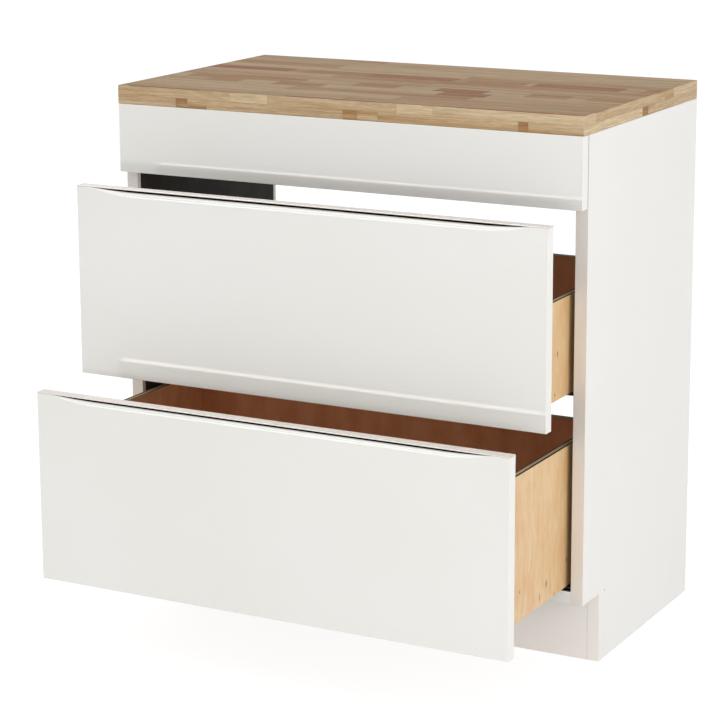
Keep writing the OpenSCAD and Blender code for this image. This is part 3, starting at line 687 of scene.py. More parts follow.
def finish_side_panel(name, outwards):
    """Foil outside, edge band on the rims and laps, near-black melamine inside as painted shade, and
    the paler kick foil, painted light, in the notch.
    """
    low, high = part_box(name)
    lap_start, lap_end = low.y + LAP, high.y - LAP
    form = eased_copy(name, 0.6)
    for place in (lap_start, lap_end):
        inner = [f for f in form.faces if f.normal.x * outwards < -LOOKS_STRAIGHT]
        cut_across(form, inner, "Y", place)

    def choose(face):
        middle = face.calc_center_median()
        if face.normal.x * outwards < -LOOKS_ALONG:
            return 2 if lap_start < middle.y < lap_end else 1
        if face.normal.y < -LOOKS_ALONG and middle.z < KICK_HEIGHT:
            return 3
        return 1 if abs(face.normal.y) > LOOKS_ALONG or face.normal.z < -LOOKS_ALONG else 0

    return stand_in(name, form, choose, [side_foil, edge_band, charcoal_melamine, kick_foil])


side_pieces = [finish_side_panel("side_panel_left", -1), finish_side_panel("side_panel_right", 1)]
print("Side panels:", [len(p.data.polygons) for p in side_pieces], "faces")

# %% Other carcass boards
def finish_board(name, radius_mm, flat_axis, faces, rim):
    """A board whose two broad faces look along flat_axis and have their own finishes."""
    number = "XYZ".index(flat_axis)

    def choose(face):
        along = face.normal[number]
        return 0 if along < -LOOKS_ALONG else 1 if along > LOOKS_ALONG else 2

    return stand_in(name, eased_copy(name, radius_mm), choose, [*faces, rim])


carcass = [
    # Painted shade: the inner faces are near black. Painted light: the kick board's foil is paler.
    finish_board("bottom_panel", 0.5, "Z", (charcoal_melamine, charcoal_melamine), side_foil),
    finish_board("kick_board", 0.2, "Y", (kick_foil, charcoal_melamine), kick_foil),
    finish_board("front_rail", 0.5, "Y", (edge_band, charcoal_melamine), edge_band),
    finish_board("rear_top_rail", 0.5, "Y", (charcoal_melamine, side_foil), side_foil),
    finish_board("rear_bottom_rail", 0.5, "Y", (charcoal_melamine, side_foil), side_foil),
    stand_in("glue_blocks", eased_copy("glue_blocks", 0.8), one_finish, [softwood]),
]
print("Carcass boards:", [p.name for p in carcass])

# %% [markdown]
# ### The worktop
# The staves follow a rule: straight rows, staggered joints, random tones. They could be modelled
# one by one and pushed together. One closed mesh that is cut along the joints is lighter, and it
# stays one board. A few marked staves have the red-brown and golden tones that catch the eye.

# %% Lay out the staves
TOP_ROWS = 12
FRONT_STRIP = 8 * MM
RED, GOLD, SOFT = 1.0, 0.75, 0.6
PLAIN = (0.0, 0.62)
# A gap of more than this many of the longest staves still gets a random one.
LONGEST_GAP = 1.5
# For each row, the marked staves as (from, to, tone), in millimetres from the middle.
TOP_MARKS = {
    0: [(-363, -239, RED), (-239, -165, GOLD), (-92, 54, RED), (187, 333, RED), (340, 381, GOLD)],
    4: [(-300, -240, SOFT), (-181, -98, GOLD), (97, 175, RED)],
    5: [(-351, -150, GOLD), (-63, 11, GOLD), (75, 156, GOLD), (223, 290, GOLD), (319, 381, GOLD)],
    8: [
        (-381, -233, RED), (-208, -95, GOLD), (-95, 53, RED), (78, 172, GOLD), (184, 326, RED),
        (358, 381, GOLD)],
}
EDGE_MARKS = {
    0: [(-278, -258, RED), (-258, -225, SOFT), (5, 28, RED), (28, 62, SOFT), (282, 297, RED)],
    1: [(-185, -120, 0.18), (92, 150, 0.12)],
}
SIDE_MARKS = {0: [(112, 134, RED), (134, 160, SOFT)], 1: [(-60, -20, GOLD), (200, 235, GOLD)]}


def lay_row(start, end, marks, stave_mm, dice):
    """The staves of one row as (from, to, tone), with the marked ones in their places."""
    row, place = [], start
    for low, high, tone in [(a * MM, b * MM, t) for a, b, t in marks] + [(end, end, None)]:
        while low - place > LONGEST_GAP * stave_mm[1] * MM:
            length = dice.uniform(*stave_mm) * MM
            row.append((place, place + length, dice.uniform(*PLAIN)))
            place += length
        if low - place > SAME_PLACE:
            row.append((place, low, dice.uniform(*PLAIN)))
        if tone is not None:
            row.append((max(low, place), high, tone))
            place = high
    return row


def lay_staves(edges, start, end, marks, stave_mm, seed):
    """Rows between the given edges, each with its staves."""
    dice = random.Random(seed)
    return [
        (low, high, lay_row(start, end, marks.get(number, []), stave_mm, dice))
        for number, (low, high) in enumerate(zip(edges, edges[1:]))]


low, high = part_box("worktop")
row_width = (high.y - low.y) / TOP_ROWS
inner_edges = [low.y + row_width * i for i in range(1, TOP_ROWS)]
row_edges = [low.y, low.y + FRONT_STRIP, *inner_edges, high.y]
half_edges = [low.z, (low.z + high.z) / 2, high.z]
# For faces that look along an axis: where the rows run, where they lie side by side, and the rows.
layouts = {
    "Z": ("X", "Y", lay_staves(row_edges, low.x, high.x, TOP_MARKS, (130, 300), seed=11)),
    "Y": ("X", "Z", lay_staves(half_edges, low.x, high.x, EDGE_MARKS, (90, 240), seed=5)),
    "X": ("Y", "Z", lay_staves(half_edges, low.y, high.y, SIDE_MARKS, (90, 220), seed=8)),
}
top_staves = sum(len(staves) for _, _, staves in layouts["Z"][2])
print("Staves on the top:", top_staves, "in rows", round(row_width / MM, 1), "mm wide")

# %% Cut the staves into the worktop and map them
def facing(face):
    """The axis that a face looks along the most."""
    return "XYZ"[max(range(3), key=lambda i: abs(face.normal[i]))]


def cut_staves(form, axis, along, across, rows):
    """Cuts the faces that look along an axis at every row edge and stave joint."""
    number = "XYZ".index(across)
    for row_low, _, _ in rows[1:]:
        cut_across(form, [f for f in form.faces if facing(f) == axis], across, row_low)
    for row_low, row_high, staves in rows:
        for stave_low, _, _ in staves[1:]:
            faces = [
                f for f in form.faces
                if facing(f) == axis and row_low < f.calc_center_median()[number] < row_high]
            cut_across(form, faces, along, stave_low)


def nearest_span(spans, place):
    """The number of the span (low, high, ...) that holds a place or lies nearest to it."""
    def outside(number):
        low, high = spans[number][:2]
        return abs((low + high) / 2 - place) - (high - low) / 2

    return min(range(len(spans)), key=outside)


def map_staves(form):
    """Gives each face its stave's tone and number, and a UV map from the stave's corner."""
    flat = form.loops.layers.uv.new(STAVE_MAP)
    tones = form.faces.layers.float.new(STAVE_TONE)
    numbers = form.faces.layers.float.new(STAVE_NUMBER)
    for face in form.faces:
        along, across, rows = layouts[facing(face)]
        i, j = "XYZ".index(along), "XYZ".index(across)
        middle = face.calc_center_median()
        row = nearest_span(rows, middle[j])
        row_start, _, staves = rows[row]
        stave = nearest_span(staves, middle[i])
        stave_start, _, tone = staves[stave]
        face[tones] = tone
        face[numbers] = random.Random(f"{facing(face)} {row} {stave}").random()
        for loop in face.loops:
            loop[flat].uv = (loop.vert.co[i] - stave_start, loop.vert.co[j] - row_start)


worktop_form = eased_copy("worktop", 1.2)
for axis, (along, across, rows) in layouts.items():
    cut_staves(worktop_form, axis, along, across, rows)
map_staves(worktop_form)
worktop = stand_in(
    "worktop", worktop_form, lambda face: 0 if facing(face) == "Z" else 1, [block_top_painted_shade, block_edge])
print("Worktop:", len(worktop.data.polygons), "faces")

# %% [markdown]
# ### The fronts and their pulls
# The false front and the drawer fronts are lacquered on the face and on every edge. Their back
# keeps the white foil of the raw board. A drawer front is opened by a finger scoop along its top: a
# round lacquered lip with a black trough behind it, painted shade for the dark deep in the scoop. A
# polished strip covers the top edge, and a black liner at the back of the scoop is painted shade
# too. The scoop could be cut with a boolean, but a section that is swept along the front gives
# cleaner faces.

# %% The shape of a finger scoop
# Lengths in millimetres. The crest is the lip's highest line, and heights count down from the top.
LIP_RADIUS = 9.6
LIP_TURN = radians(50)
CREST = 3.7
CREST_ROUND = 0.7
CREST_DEPTH = LIP_RADIUS * (1 - cos(LIP_TURN)) + CREST_ROUND * cos(LIP_TURN)
CREST_STEPS = 4
SCOOP_HEIGHT = 8.2
SCOOP_DEPTH = 11.0
SCOOP_BACK = 4.6
SCOOP_END = 355.25
TROUGH = 1.4
RUN_OUT = 74.0
RUN_OUT_STEPS = 22
LIP_STEPS = 8
FLOOR_STEPS = 5


def scoop_fall(x):
    """How deep the scoop is at a place along the front, both in mm: a quarter sine at both ends."""
    way = min(1.0, max(0.0, (SCOOP_END - abs(x)) / RUN_OUT))
    return SCOOP_HEIGHT * sin(radians(90) * way)


def scoop_profile(fall):
    """Points (depth, height) in mm: up the round lip, over its crest and to the back wall."""
    share = fall / SCOOP_HEIGHT
    foot = CREST + LIP_RADIUS * sin(LIP_TURN)
    points = []
    for step in range(LIP_STEPS + 1):
        turn = LIP_TURN * step / LIP_STEPS
        rise = LIP_RADIUS * sin(turn) - foot
        points.append((share * LIP_RADIUS * (1 - cos(turn)), share * rise))
    for step in range(1, CREST_STEPS + 1):
        lean = (radians(90) - LIP_TURN) * (1 - 2 * step / CREST_STEPS)
        rise = CREST_ROUND * (cos(lean) - sin(LIP_TURN)) - CREST
        points.append((share * (CREST_DEPTH - CREST_ROUND * sin(lean)), share * rise))
    crest_depth, crest_height = points[-1]
    for step in range(1, FLOOR_STEPS + 1):
        way = step / FLOOR_STEPS
        depth = crest_depth + (SCOOP_DEPTH - crest_depth) * way
        height = crest_height + (max(-fall, -SCOOP_BACK) - crest_height) * way
        points.append((depth, height - share * TROUGH * sin(radians(180) * way)))
    return points


def scoop_stations():
    """Places along the front, in mm, where a section of the scoop is set."""
    ramp = [SCOOP_END - RUN_OUT * i / RUN_OUT_STEPS for i in range(RUN_OUT_STEPS + 1)]
    return [-x for x in ramp] + ramp[::-1]


print("Scoop profile:", [(round(a, 1), round(b, 1)) for a, b in scoop_profile(SCOOP_HEIGHT)])

# %% [markdown]
# A drawer front is cut below its scoop, and the part above is built new, from one section for each
# place along the front. The scoop's lip is a long round that catches a bright line of light. Behind
# its crest lies a trough painted black, as painted shade. The rest of the board keeps the CAD's
# faces and screw holes.

# %% The scoop's surface and the board around it
CUT_BELOW = 18 * MM


def scoop_surface(form, low, high):
    """Lofts the scoop. Returns its sections and the corners where its back wall meets the top."""
    rows = [
        [form.verts.new((x * MM, low.y + depth * MM, high.z + height * MM))
         for depth, height in scoop_profile(scoop_fall(x))]
        for x in scoop_stations()]
    wall = [form.verts.new((row[-1].co.x, row[-1].co.y, high.z)) for row in rows]
    for one, two, wall_one, wall_two in zip(rows, rows[1:], wall, wall[1:]):
        for a, b, c, d in zip(one, one[1:], two[1:], two):
            form.faces.new((a, d, c, b))
        form.faces.new((one[-1], two[-1], wall_two, wall_one))
    return rows, wall


def board_around(form, low, high, level, rows, wall):
    """Closes the front above the level with its face, top, back and two ends."""
    back_rim = sorted({
        round(v.co.x, 7) for e in form.edges if len(e.link_faces) == 1 for v in e.verts
        if abs(v.co.y - high.y) < SAME_PLACE and abs(v.co.x) < high.x - SAME_PLACE
        and abs(v.co.z - level) < SAME_PLACE}, reverse=True)
    top = {
        (side, way): form.verts.new((side * high.x, low.y if way < 0 else high.y, high.z))
        for side in (-1, 1) for way in (-1, 1)}
    foot = {key: form.verts.new((v.co.x, v.co.y, level)) for key, v in top.items()}
    lip = [row[0] for row in rows]
    form.faces.new([foot[-1, -1], foot[1, -1], top[1, -1], *lip[::-1], top[-1, -1]])
    form.faces.new([
        top[-1, -1], *rows[0], *wall[1:-1], *rows[-1][::-1], top[1, -1], top[1, 1], top[-1, 1]])
    back = [form.verts.new((x, high.y, level)) for x in back_rim]
    form.faces.new([foot[1, 1], *back, foot[-1, 1], top[-1, 1], top[1, 1]])
    form.faces.new([foot[1, -1], foot[1, 1], top[1, 1], top[1, -1]])
    form.faces.new([foot[-1, 1], foot[-1, -1], top[-1, -1], top[-1, 1]])


print("Scoop:", len(scoop_stations()), "sections of", len(scoop_profile(SCOOP_HEIGHT)), "points")


# %% Drawer front with a rounded scoop
# An edge of the scoop lies further than this inside the front's outline.
INSIDE = 0.1 * MM


def drawer_front_form(name):
    """The front's bmesh: its lower part from the CAD, its upper part built round the scoop."""
    low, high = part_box(name)
    form = merged_copy(name)
    level = high.z - CUT_BELOW
    bmesh.ops.bisect_plane(
        form, geom=form.verts[:] + form.edges[:] + form.faces[:], dist=ON_THE_CUT,
        plane_co=Vector((0, 0, level)), plane_no=Vector((0, 0, 1)), clear_outer=True)
    board_around(form, low, high, level, *scoop_surface(form, low, high))
    bmesh.ops.remove_doubles(form, verts=form.verts, dist=SAME_PLACE)
    bmesh.ops.dissolve_degenerate(form, dist=ON_THE_CUT, edges=form.edges)
    bmesh.ops.recalc_face_normals(form, faces=form.faces)
    seam = [
        e for e in form.edges
        if all(abs(v.co.z - level) < SAME_PLACE for v in e.verts) and len(e.link_faces) == 2]
    bmesh.ops.dissolve_edges(form, edges=seam, use_verts=True)

    def inside_scoop(edge):
        return all(
            low.y + INSIDE < v.co.y < high.y - INSIDE and abs(v.co.x) < high.x - INSIDE
            and v.co.z > level for v in edge.verts)

    return ease_edges(form, 0.8, least_mm=20, spared=inside_scoop)


# In millimetres: what keeps the back wall and the top itself out of the trough's black painted shade.
WALL_MARGIN = 0.01
STRIP_MARGIN = 0.05


def front_choice(name):
    """Lacquer, but white foil on the back and black painted shade in the trough behind the lip."""
    low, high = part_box(name)

    def choose(face):
        middle = face.calc_center_median()
        crest_depth = CREST_DEPTH * scoop_fall(middle.x / MM) / SCOOP_HEIGHT
        behind_crest = crest_depth < (middle.y - low.y) / MM < SCOOP_DEPTH - WALL_MARGIN
        under_strip = high.z - SCOOP_HEIGHT * MM < middle.z < high.z - STRIP_MARGIN * MM
        if behind_crest and under_strip and abs(middle.x) < SCOOP_END * MM:
            return 2
        return 1 if face.normal.y > LOOKS_ALONG else 0

    return choose


fronts = [stand_in(
    "false_front", eased_copy("false_front", 0.8), lambda face: face.normal.y > LOOKS_ALONG,
    [gloss_lacquer, side_foil])]
# The trough behind each lip takes the black painted shade.
for name in ("upper_front", "lower_front"):
    fronts.append(stand_in(
        name, drawer_front_form(name), front_choice(name),
        [gloss_lacquer, side_foil, black_shade_liner]))
print("Fronts:", {p.name: len(p.data.polygons) for p in fronts})

# %% Pull strips and liners
pulls = []
# The liners are near black: painted shade.
for drawer in ("upper", "lower"):
    for part, radius_mm, finish in (("strip", 0.25, polished_strip), ("liner", 0.1, black_shade_liner)):
        name = f"{drawer}_pull_{part}"
        pulls.append(stand_in(name, eased_copy(name, radius_mm), one_finish, [finish]))
print("Pulls:", [p.name for p in pulls])

# %% [markdown]
# ### The drawer boxes
# Each box has two sides between a front and a back, and a bottom in grooves. The veneer faces
# outwards, the film inwards, and the rims show the plies. The rims are sanded round by 0.4 mm. New
# boards could be drawn, but copies of the CAD boards keep the grooves and the screw holes in place.

# %% Drawer boxes
def finish_box_board(name, axis, outwards, veneer, rim):
    """A box board whose veneered face looks along an axis: forwards for 1, backwards for -1."""
    number = "XYZ".index(axis)

    def choose(face):
        out = face.normal[number] * outwards
        return 0 if out > LOOKS_ALONG else 1 if out < -LOOKS_ALONG else 2

    return stand_in(name, eased_copy(name, 0.4), choose, [veneer, brown_film, rim])


boxes = []
for drawer, knotty in (("upper", birch_upper), ("lower", birch_lower)):
    boxes += [
        finish_box_board(f"{drawer}_box_right", "X", 1, knotty, rims["side"]),
        finish_box_board(f"{drawer}_box_left", "X", -1, birch_plain, rims["side"]),
        finish_box_board(f"{drawer}_box_front", "Y", -1, birch_plain, rims[drawer, "front"]),
        finish_box_board(f"{drawer}_box_back", "Y", 1, birch_plain, rims[drawer, "back"]),
        finish_box_board(f"{drawer}_box_bottom", "Z", -1, birch_plain, brown_film),
    ]
print("Box boards:", len(boxes))

# %% [markdown]
# ## Slides, brackets and plastic parts
# The slide rails are bent from 1.2 mm strip. Their long rims are eased by a quarter of a
# millimetre, as a press brake leaves them. The catches are moulded, with rounder rims. The pads,
# the cam bolts and the dowels are hidden between boards. They could be made anew like the rest, but
# the CAD solids have their shapes already, so these only get their finish.

# %% Slides, brackets, catches and pads
metalwork = []
for drawer in ("upper", "lower"):
    for side in ("left", "right"):
        for rail in ("cabinet_rail", "mid_rail", "drawer_rail"):
            name = f"{drawer}_{side}_{rail}"
            metalwork.append(stand_in(name, eased_copy(name, 0.25), one_finish, [zinc_steel]))
    name = f"{drawer}_catches"
    catches = eased_copy(name, 1.2, least_mm=8)
    metalwork.append(stand_in(name, catches, one_finish, [grey_plastic]))
metalwork.append(stand_in(
    "worktop_brackets", eased_copy("worktop_brackets", 0.4), one_finish, [zinc_steel]))
kept_nodes = {"false_front_pads": grey_plastic, "cam_bolts": zinc_steel, "dowels": beech_dowel}
for name, finish in kept_nodes.items():
    nodes[name].data.materials.clear()
    nodes[name].data.materials.append(finish)
print("Rails, catches and brackets:", len(metalwork), "and kept as they are:", list(kept_nodes))

# %% [markdown]
# ## Turned fittings from one rule
# Screws, rollers, bumpers and cam locks repeat many times, and each is round about one axis. They
# could be copied by hand. Geometry Nodes make them instead: a profile of radius against height is
# swept round the axis once, gets its recess or slot, and is set on every point of a small mesh. The
# points are measured on the CAD solids, so each fitting sits where the CAD model has it.

# %% Find where the fittings sit
def loose_parts(name):
    """The lowest and highest corner of each loose solid of a CAD node, and its corners' places."""
    form = bmesh.new()
    form.from_mesh(nodes[name].data)
    bmesh.ops.remove_doubles(form, verts=form.verts, dist=SAME_PLACE)
    left, parts = set(form.verts), []
    while left:
        found, queue = set(), [left.pop()]
        while queue:
            vert = queue.pop()
            found.add(vert)
            for edge in vert.link_edges:
                other = edge.other_vert(vert)
                if other in left:
                    left.discard(other)
                    queue.append(other)
        places = [v.co.copy() for v in found]
        parts.append((
            Vector([min(p[i] for p in places) for i in range(3)]),
            Vector([max(p[i] for p in places) for i in range(3)]), places))
    form.free()
    return sorted(parts, key=lambda part: tuple(part[0]))


print("Screws of the false front:", len(loose_parts("false_front_screws")))


# %% A tree with named sizes
def start_tree(name, sizes):
    """A Geometry Nodes tree with a named input for each size and one for the finish."""
    tree = bpy.data.node_groups.new(name, "GeometryNodeTree")
    tree.interface.new_socket("Geometry", in_out="INPUT", socket_type="NodeSocketGeometry")
    for label in sizes:
        tree.interface.new_socket(label, in_out="INPUT", socket_type="NodeSocketFloat")
    tree.interface.new_socket("Finish", in_out="INPUT", socket_type="NodeSocketMaterial")
    tree.interface.new_socket("Geometry", in_out="OUTPUT", socket_type="NodeSocketGeometry")
    return tree, tree.nodes.new("NodeGroupInput")


def sum_of(tree, inputs, terms):
    """A sum such as 1 Radius - 1 Rim, from a dictionary of named inputs and shares."""
    total = 0.0
    for label, share in terms.items():
        total = add(tree, "ShaderNodeMath", {
            0: inputs.outputs[label], 1: share, 2: total}, operation="MULTIPLY_ADD")
    return total


print("Helpers:", [tool.__name__ for tool in (start_tree, sum_of)])


# %% Turn a profile and cut recesses
def turned(tree, inputs, profile, steps):
    """A closed solid turned about Z from (height, radius) pairs, each of them a sum of inputs."""
    index = add(tree, "GeometryNodeInputIndex")
    heights = add(tree, "GeometryNodeIndexSwitch", data_type="FLOAT")
    radii = add(tree, "GeometryNodeIndexSwitch", data_type="FLOAT")
    for switch, column in ((heights, 0), (radii, 1)):
        while len(switch.index_switch_items) < len(profile):
            switch.index_switch_items.new()
        tree.links.new(index.outputs[0], switch.inputs["Index"])
        for number, point in enumerate(profile):
            total = sum_of(tree, inputs, point[column])
            if isinstance(total, float):
                switch.inputs[number + 1].default_value = total
            else:
                tree.links.new(total.outputs[0], switch.inputs[number + 1])
    line = add(tree, "GeometryNodeMeshLine", {"Count": len(profile)})
    place = add(tree, "ShaderNodeCombineXYZ", {"Z": heights})
    shaped = add(tree, "GeometryNodeSetPosition", {"Geometry": line, "Position": place})
    path = add(tree, "GeometryNodeMeshToCurve", {"Mesh": shaped})
    ring = add(tree, "GeometryNodeCurvePrimitiveCircle", {"Resolution": steps, "Radius": 1.0})
    return add(tree, "GeometryNodeCurveToMesh", {
        "Curve": path, "Profile Curve": ring, "Scale": radii, "Fill Caps": True})


def bar(tree, size, offset):
    """A cutting bar: a cube of that size, moved by an offset."""
    cube = add(tree, "GeometryNodeMeshCube", {"Size": size})
    return add(tree, "GeometryNodeTransform", {"Geometry": cube, "Translation": offset})


def cross_of_bars(tree, reach, width, depth, offset):
    """Two bars that cross, to cut a cross recess."""
    return [
        bar(tree, add(tree, "ShaderNodeCombineXYZ", size), offset)
        for size in ({"X": reach, "Y": width, "Z": depth}, {"X": width, "Y": reach, "Z": depth})]


def cut_away(tree, body, cutters):
    """The body without what the cutters cover. Each cutter has its own link, so they may cross."""
    cut = add(tree, "GeometryNodeMeshBoolean", {
        "Mesh 1": body}, operation="DIFFERENCE", solver="EXACT")
    for cutter in cutters:
        tree.links.new(cutter.outputs[0], cut.inputs["Mesh 2"])
    return cut


print("Helpers:", [tool.__name__ for tool in (turned, bar, cross_of_bars, cut_away)])


# %% Set a fitting on every seat
FACING = "facing"
SLOT_WAY = "slot_way"


def set_on_seats(tree, inputs, fitting):
    """Sets the fitting on every point, turned the way that the point says, as plain mesh."""
    aim, way = [
        add(tree, "GeometryNodeInputNamedAttribute", {"Name": key}, data_type="FLOAT_VECTOR")
        for key in (FACING, SLOT_WAY)]
    facing_turn = add(tree, "FunctionNodeAlignRotationToVector", {"Vector": aim}, axis="Z")
    slot_turn = add(tree, "FunctionNodeAlignRotationToVector", {
        "Rotation": facing_turn, "Vector": way}, axis="X", pivot_axis="Z")
    spread = add(tree, "GeometryNodeInstanceOnPoints", {
        "Points": inputs.outputs["Geometry"], "Instance": fitting, "Rotation": slot_turn})
    solid = add(tree, "GeometryNodeRealizeInstances", {"Geometry": spread})
    painted = add(tree, "GeometryNodeSetMaterial", {
        "Geometry": solid, "Material": inputs.outputs["Finish"]})
    end = tree.nodes.new("NodeGroupOutput")
    tree.links.new(painted.outputs[0], end.inputs[0])


def seats(name, spots):
    """A mesh of points. Each spot is a place, the way it faces and the way its slot runs."""
    mesh = bpy.data.meshes.new(name + "_seats")
    mesh.from_pydata([s[0] for s in spots], [], [])
    for key, column in ((FACING, 1), (SLOT_WAY, 2)):
        data = mesh.attributes.new(key, "FLOAT_VECTOR", "POINT").data
        data.foreach_set("vector", [v for s in spots for v in s[column]])
    return mesh


def grow(tree, name, spots, sizes, finish):
    """Runs a tree on the seats of a CAD node and keeps the result as a plain mesh."""
    seat = bpy.data.objects.new(name + "_seat", seats(name, spots))
    bpy.context.scene.collection.objects.link(seat)
    modifier = seat.modifiers.new("fitting", "NODES")
    modifier.node_group = tree
    for item in tree.interface.items_tree:
        if item.in_out == "INPUT" and item.name in sizes:
            modifier[item.identifier] = sizes[item.name]
        if item.name == "Finish":
            modifier[item.identifier] = finish
    bpy.context.view_layer.update()
    evaluated = seat.evaluated_get(bpy.context.evaluated_depsgraph_get())
    mesh = bpy.data.meshes.new_from_object(evaluated)
    seat.modifiers.remove(modifier)
    bpy.data.objects.remove(seat)
    for key in (FACING, SLOT_WAY):
        if key in mesh.attributes:
            mesh.attributes.remove(mesh.attributes[key])
    mesh.name = name + SUFFIX
    mesh.shade_smooth()
    return place_piece(name, mesh)


print("Helpers:", [tool.__name__ for tool in (set_on_seats, seats, grow)])

# %% [markdown]
# ### Screws
# A pan-head screw has a low domed head with a cross recess. Its thread is buried in the board, and
# could be a real helix. Nobody sees it, so the shank stays plain and only gets its tapered tip. The
# head is turned from four points, and two bars cut the cross.

# %% Screw tree
FINE_STEPS = 24
HAIR = 0.004 * MM
# A cutting bar is longer than what it cuts, so that it goes through.
OVERSIZE = 1.1
screw_tree, screw_in = start_tree("pan_head_screw", [
    "Head Radius", "Head Height", "Shank Radius", "Shank Length", "Recess Width", "Hair"])
screw_body = turned(screw_tree, screw_in, [
    ({"Shank Length": -1.0}, {"Shank Radius": 0.3}),
    ({"Shank Length": -1.0, "Shank Radius": 1.2}, {"Shank Radius": 1.0}),
    ({"Hair": -1.0}, {"Shank Radius": 1.0}),
    ({}, {"Head Radius": 1.0}),
    ({"Head Height": 0.35}, {"Head Radius": 1.0}),
    ({"Head Height": 0.75}, {"Head Radius": 0.86}),
    ({"Head Height": 1.0}, {"Head Radius": 0.5}),
], FINE_STEPS)
recess_reach = sum_of(screw_tree, screw_in, {"Head Radius": OVERSIZE})
recess_width = sum_of(screw_tree, screw_in, {"Recess Width": 1.0})
recess_depth = sum_of(screw_tree, screw_in, {"Head Height": OVERSIZE})
head_top = add(screw_tree, "ShaderNodeCombineXYZ", {
    "Z": sum_of(screw_tree, screw_in, {"Head Height": 1.0})})
recess = cross_of_bars(screw_tree, recess_reach, recess_width, recess_depth, head_top)
set_on_seats(screw_tree, screw_in, cut_away(screw_tree, screw_body, recess))
print("Screw tree:", len(screw_tree.nodes), "nodes")

# %% Find the screws and drive them in
SCREW_HEAD_HEIGHT = 2.0 * MM
SCREW_RECESS = 0.9 * MM
# The way that a screw's cross points, for a screw along X, Y and Z.
SLOT_WAYS = [Vector((0.0, 0.35, 0.9)), Vector((0.4, 0.0, 0.9)), Vector((0.9, 0.3, 0.0))]


def screw_spots(name):
    """Seat, facing and slot direction of each screw: the head is the wide end of its solid."""
    spots = []
    for low, high, places in loose_parts(name):
        size = high - low
        axis = max(range(3), key=lambda i: size[i])
        middle = (low + high) / 2

        def off_axis(place):
            away = place - middle
            away[axis] = 0
            return away.length

        way = 1 if max(places, key=off_axis)[axis] > middle[axis] else -1
        seat = middle.copy()
        seat[axis] = (high[axis] if way > 0 else low[axis]) - way * SCREW_HEAD_HEIGHT
        spots.append((seat, along_axis(axis, way), SLOT_WAYS[axis]))
    return spots


screw_pieces = []
for group in ("false_front", "bracket", "slide", "upper_front", "lower_front"):
    name = f"{group}_screws"
    low, high, _ = loose_parts(name)[0]
    width, _, length = sorted(high - low)
    screw_pieces.append(grow(screw_tree, name, screw_spots(name), {
        "Head Radius": width / 2, "Head Height": SCREW_HEAD_HEIGHT, "Shank Radius": width / 4,
        "Shank Length": length - SCREW_HEAD_HEIGHT, "Recess Width": SCREW_RECESS, "Hair": HAIR,
    }, zinc_steel))
print("Screws:", {p.name: len(p.data.polygons) for p in screw_pieces})

# %% [markdown]
# ### Rollers, bumpers and cam locks
# A roller has chamfered rims and a shallow groove. A bumper is a soft dome. A cam lock is a
# die-cast disc with a cross recess on its face and a wide slot behind it that holds the head of its
# bolt. Each could be turned by its own code, but the same rule takes another profile.

# %% Roller and bumper trees
roller_tree, roller_in = start_tree("slide_roller", ["Radius", "Half Length", "Rim"])
set_on_seats(roller_tree, roller_in, turned(roller_tree, roller_in, [
    ({"Half Length": -1.0}, {"Radius": 1.0, "Rim": -1.0}),
    ({"Half Length": -1.0, "Rim": 1.0}, {"Radius": 1.0}),
    ({"Half Length": -0.3}, {"Radius": 1.0}),
    ({"Half Length": -0.22}, {"Radius": 0.88}),
    ({"Half Length": 0.22}, {"Radius": 0.88}),
    ({"Half Length": 0.3}, {"Radius": 1.0}),
    ({"Half Length": 1.0, "Rim": -1.0}, {"Radius": 1.0}),
    ({"Half Length": 1.0}, {"Radius": 1.0, "Rim": -1.0}),
], FINE_STEPS))
bumper_tree, bumper_in = start_tree("drawer_bumper", ["Radius", "Height"])
set_on_seats(bumper_tree, bumper_in, turned(bumper_tree, bumper_in, [
    ({}, {"Radius": 1.0}),
    ({"Height": 0.4}, {"Radius": 0.97}),
    ({"Height": 0.75}, {"Radius": 0.82}),
    ({"Height": 1.0}, {"Radius": 0.45}),
], FINE_STEPS))
print("Roller tree:", len(roller_tree.nodes), "nodes, bumper tree:", len(bumper_tree.nodes))

# %% Rollers and bumpers
ROLLER_RIM = 0.3 * MM
rounds = []
for drawer in ("upper", "lower"):
    name = f"{drawer}_rollers"
    parts = loose_parts(name)
    half = (parts[0][1] - parts[0][0]) / 2
    spots = [((low + high) / 2, along_axis(0), along_axis(1)) for low, high, _ in parts]
    rounds.append(grow(roller_tree, name, spots, {
        "Radius": half.z, "Half Length": half.x, "Rim": ROLLER_RIM}, nylon))
    name = f"{drawer}_bumpers"
    parts = loose_parts(name)
    size = parts[0][1] - parts[0][0]
    spots = [
        (Vector(((low.x + high.x) / 2, low.y, (low.z + high.z) / 2)), along_axis(1), along_axis(0))
        for low, high, _ in parts]
    rounds.append(grow(bumper_tree, name, spots, {
        "Radius": size.z / 2, "Height": size.y}, grey_plastic))
print("Rollers and bumpers:", {p.name: len(p.data.polygons) for p in rounds})

# %% Cam lock tree
CAM_STEPS = 36
CAM_SIZES = {
    "Radius": 7.4 * MM, "Height": 12.4 * MM, "Rim": 0.4 * MM, "Face": 5.5 * MM, "Slot": 8.0 * MM,
    "Recess Width": 1.4 * MM, "Recess Depth": 3.0 * MM}
cam_tree, cam_in = start_tree("cam_lock", CAM_SIZES)
cam_body = turned(cam_tree, cam_in, [
    ({"Height": -1.0}, {"Radius": 1.0, "Rim": -1.0}),
    ({"Height": -1.0, "Rim": 1.0}, {"Radius": 1.0}),
    ({"Rim": -1.0}, {"Radius": 1.0}),
    ({}, {"Radius": 1.0, "Rim": -1.0}),
], CAM_STEPS)
arm_reach = sum_of(cam_tree, cam_in, {"Radius": OVERSIZE})
arm_width = sum_of(cam_tree, cam_in, {"Recess Width": 1.0})
arm_depth = sum_of(cam_tree, cam_in, {"Recess Depth": 2.0})
cam_top = add(cam_tree, "ShaderNodeCombineXYZ")
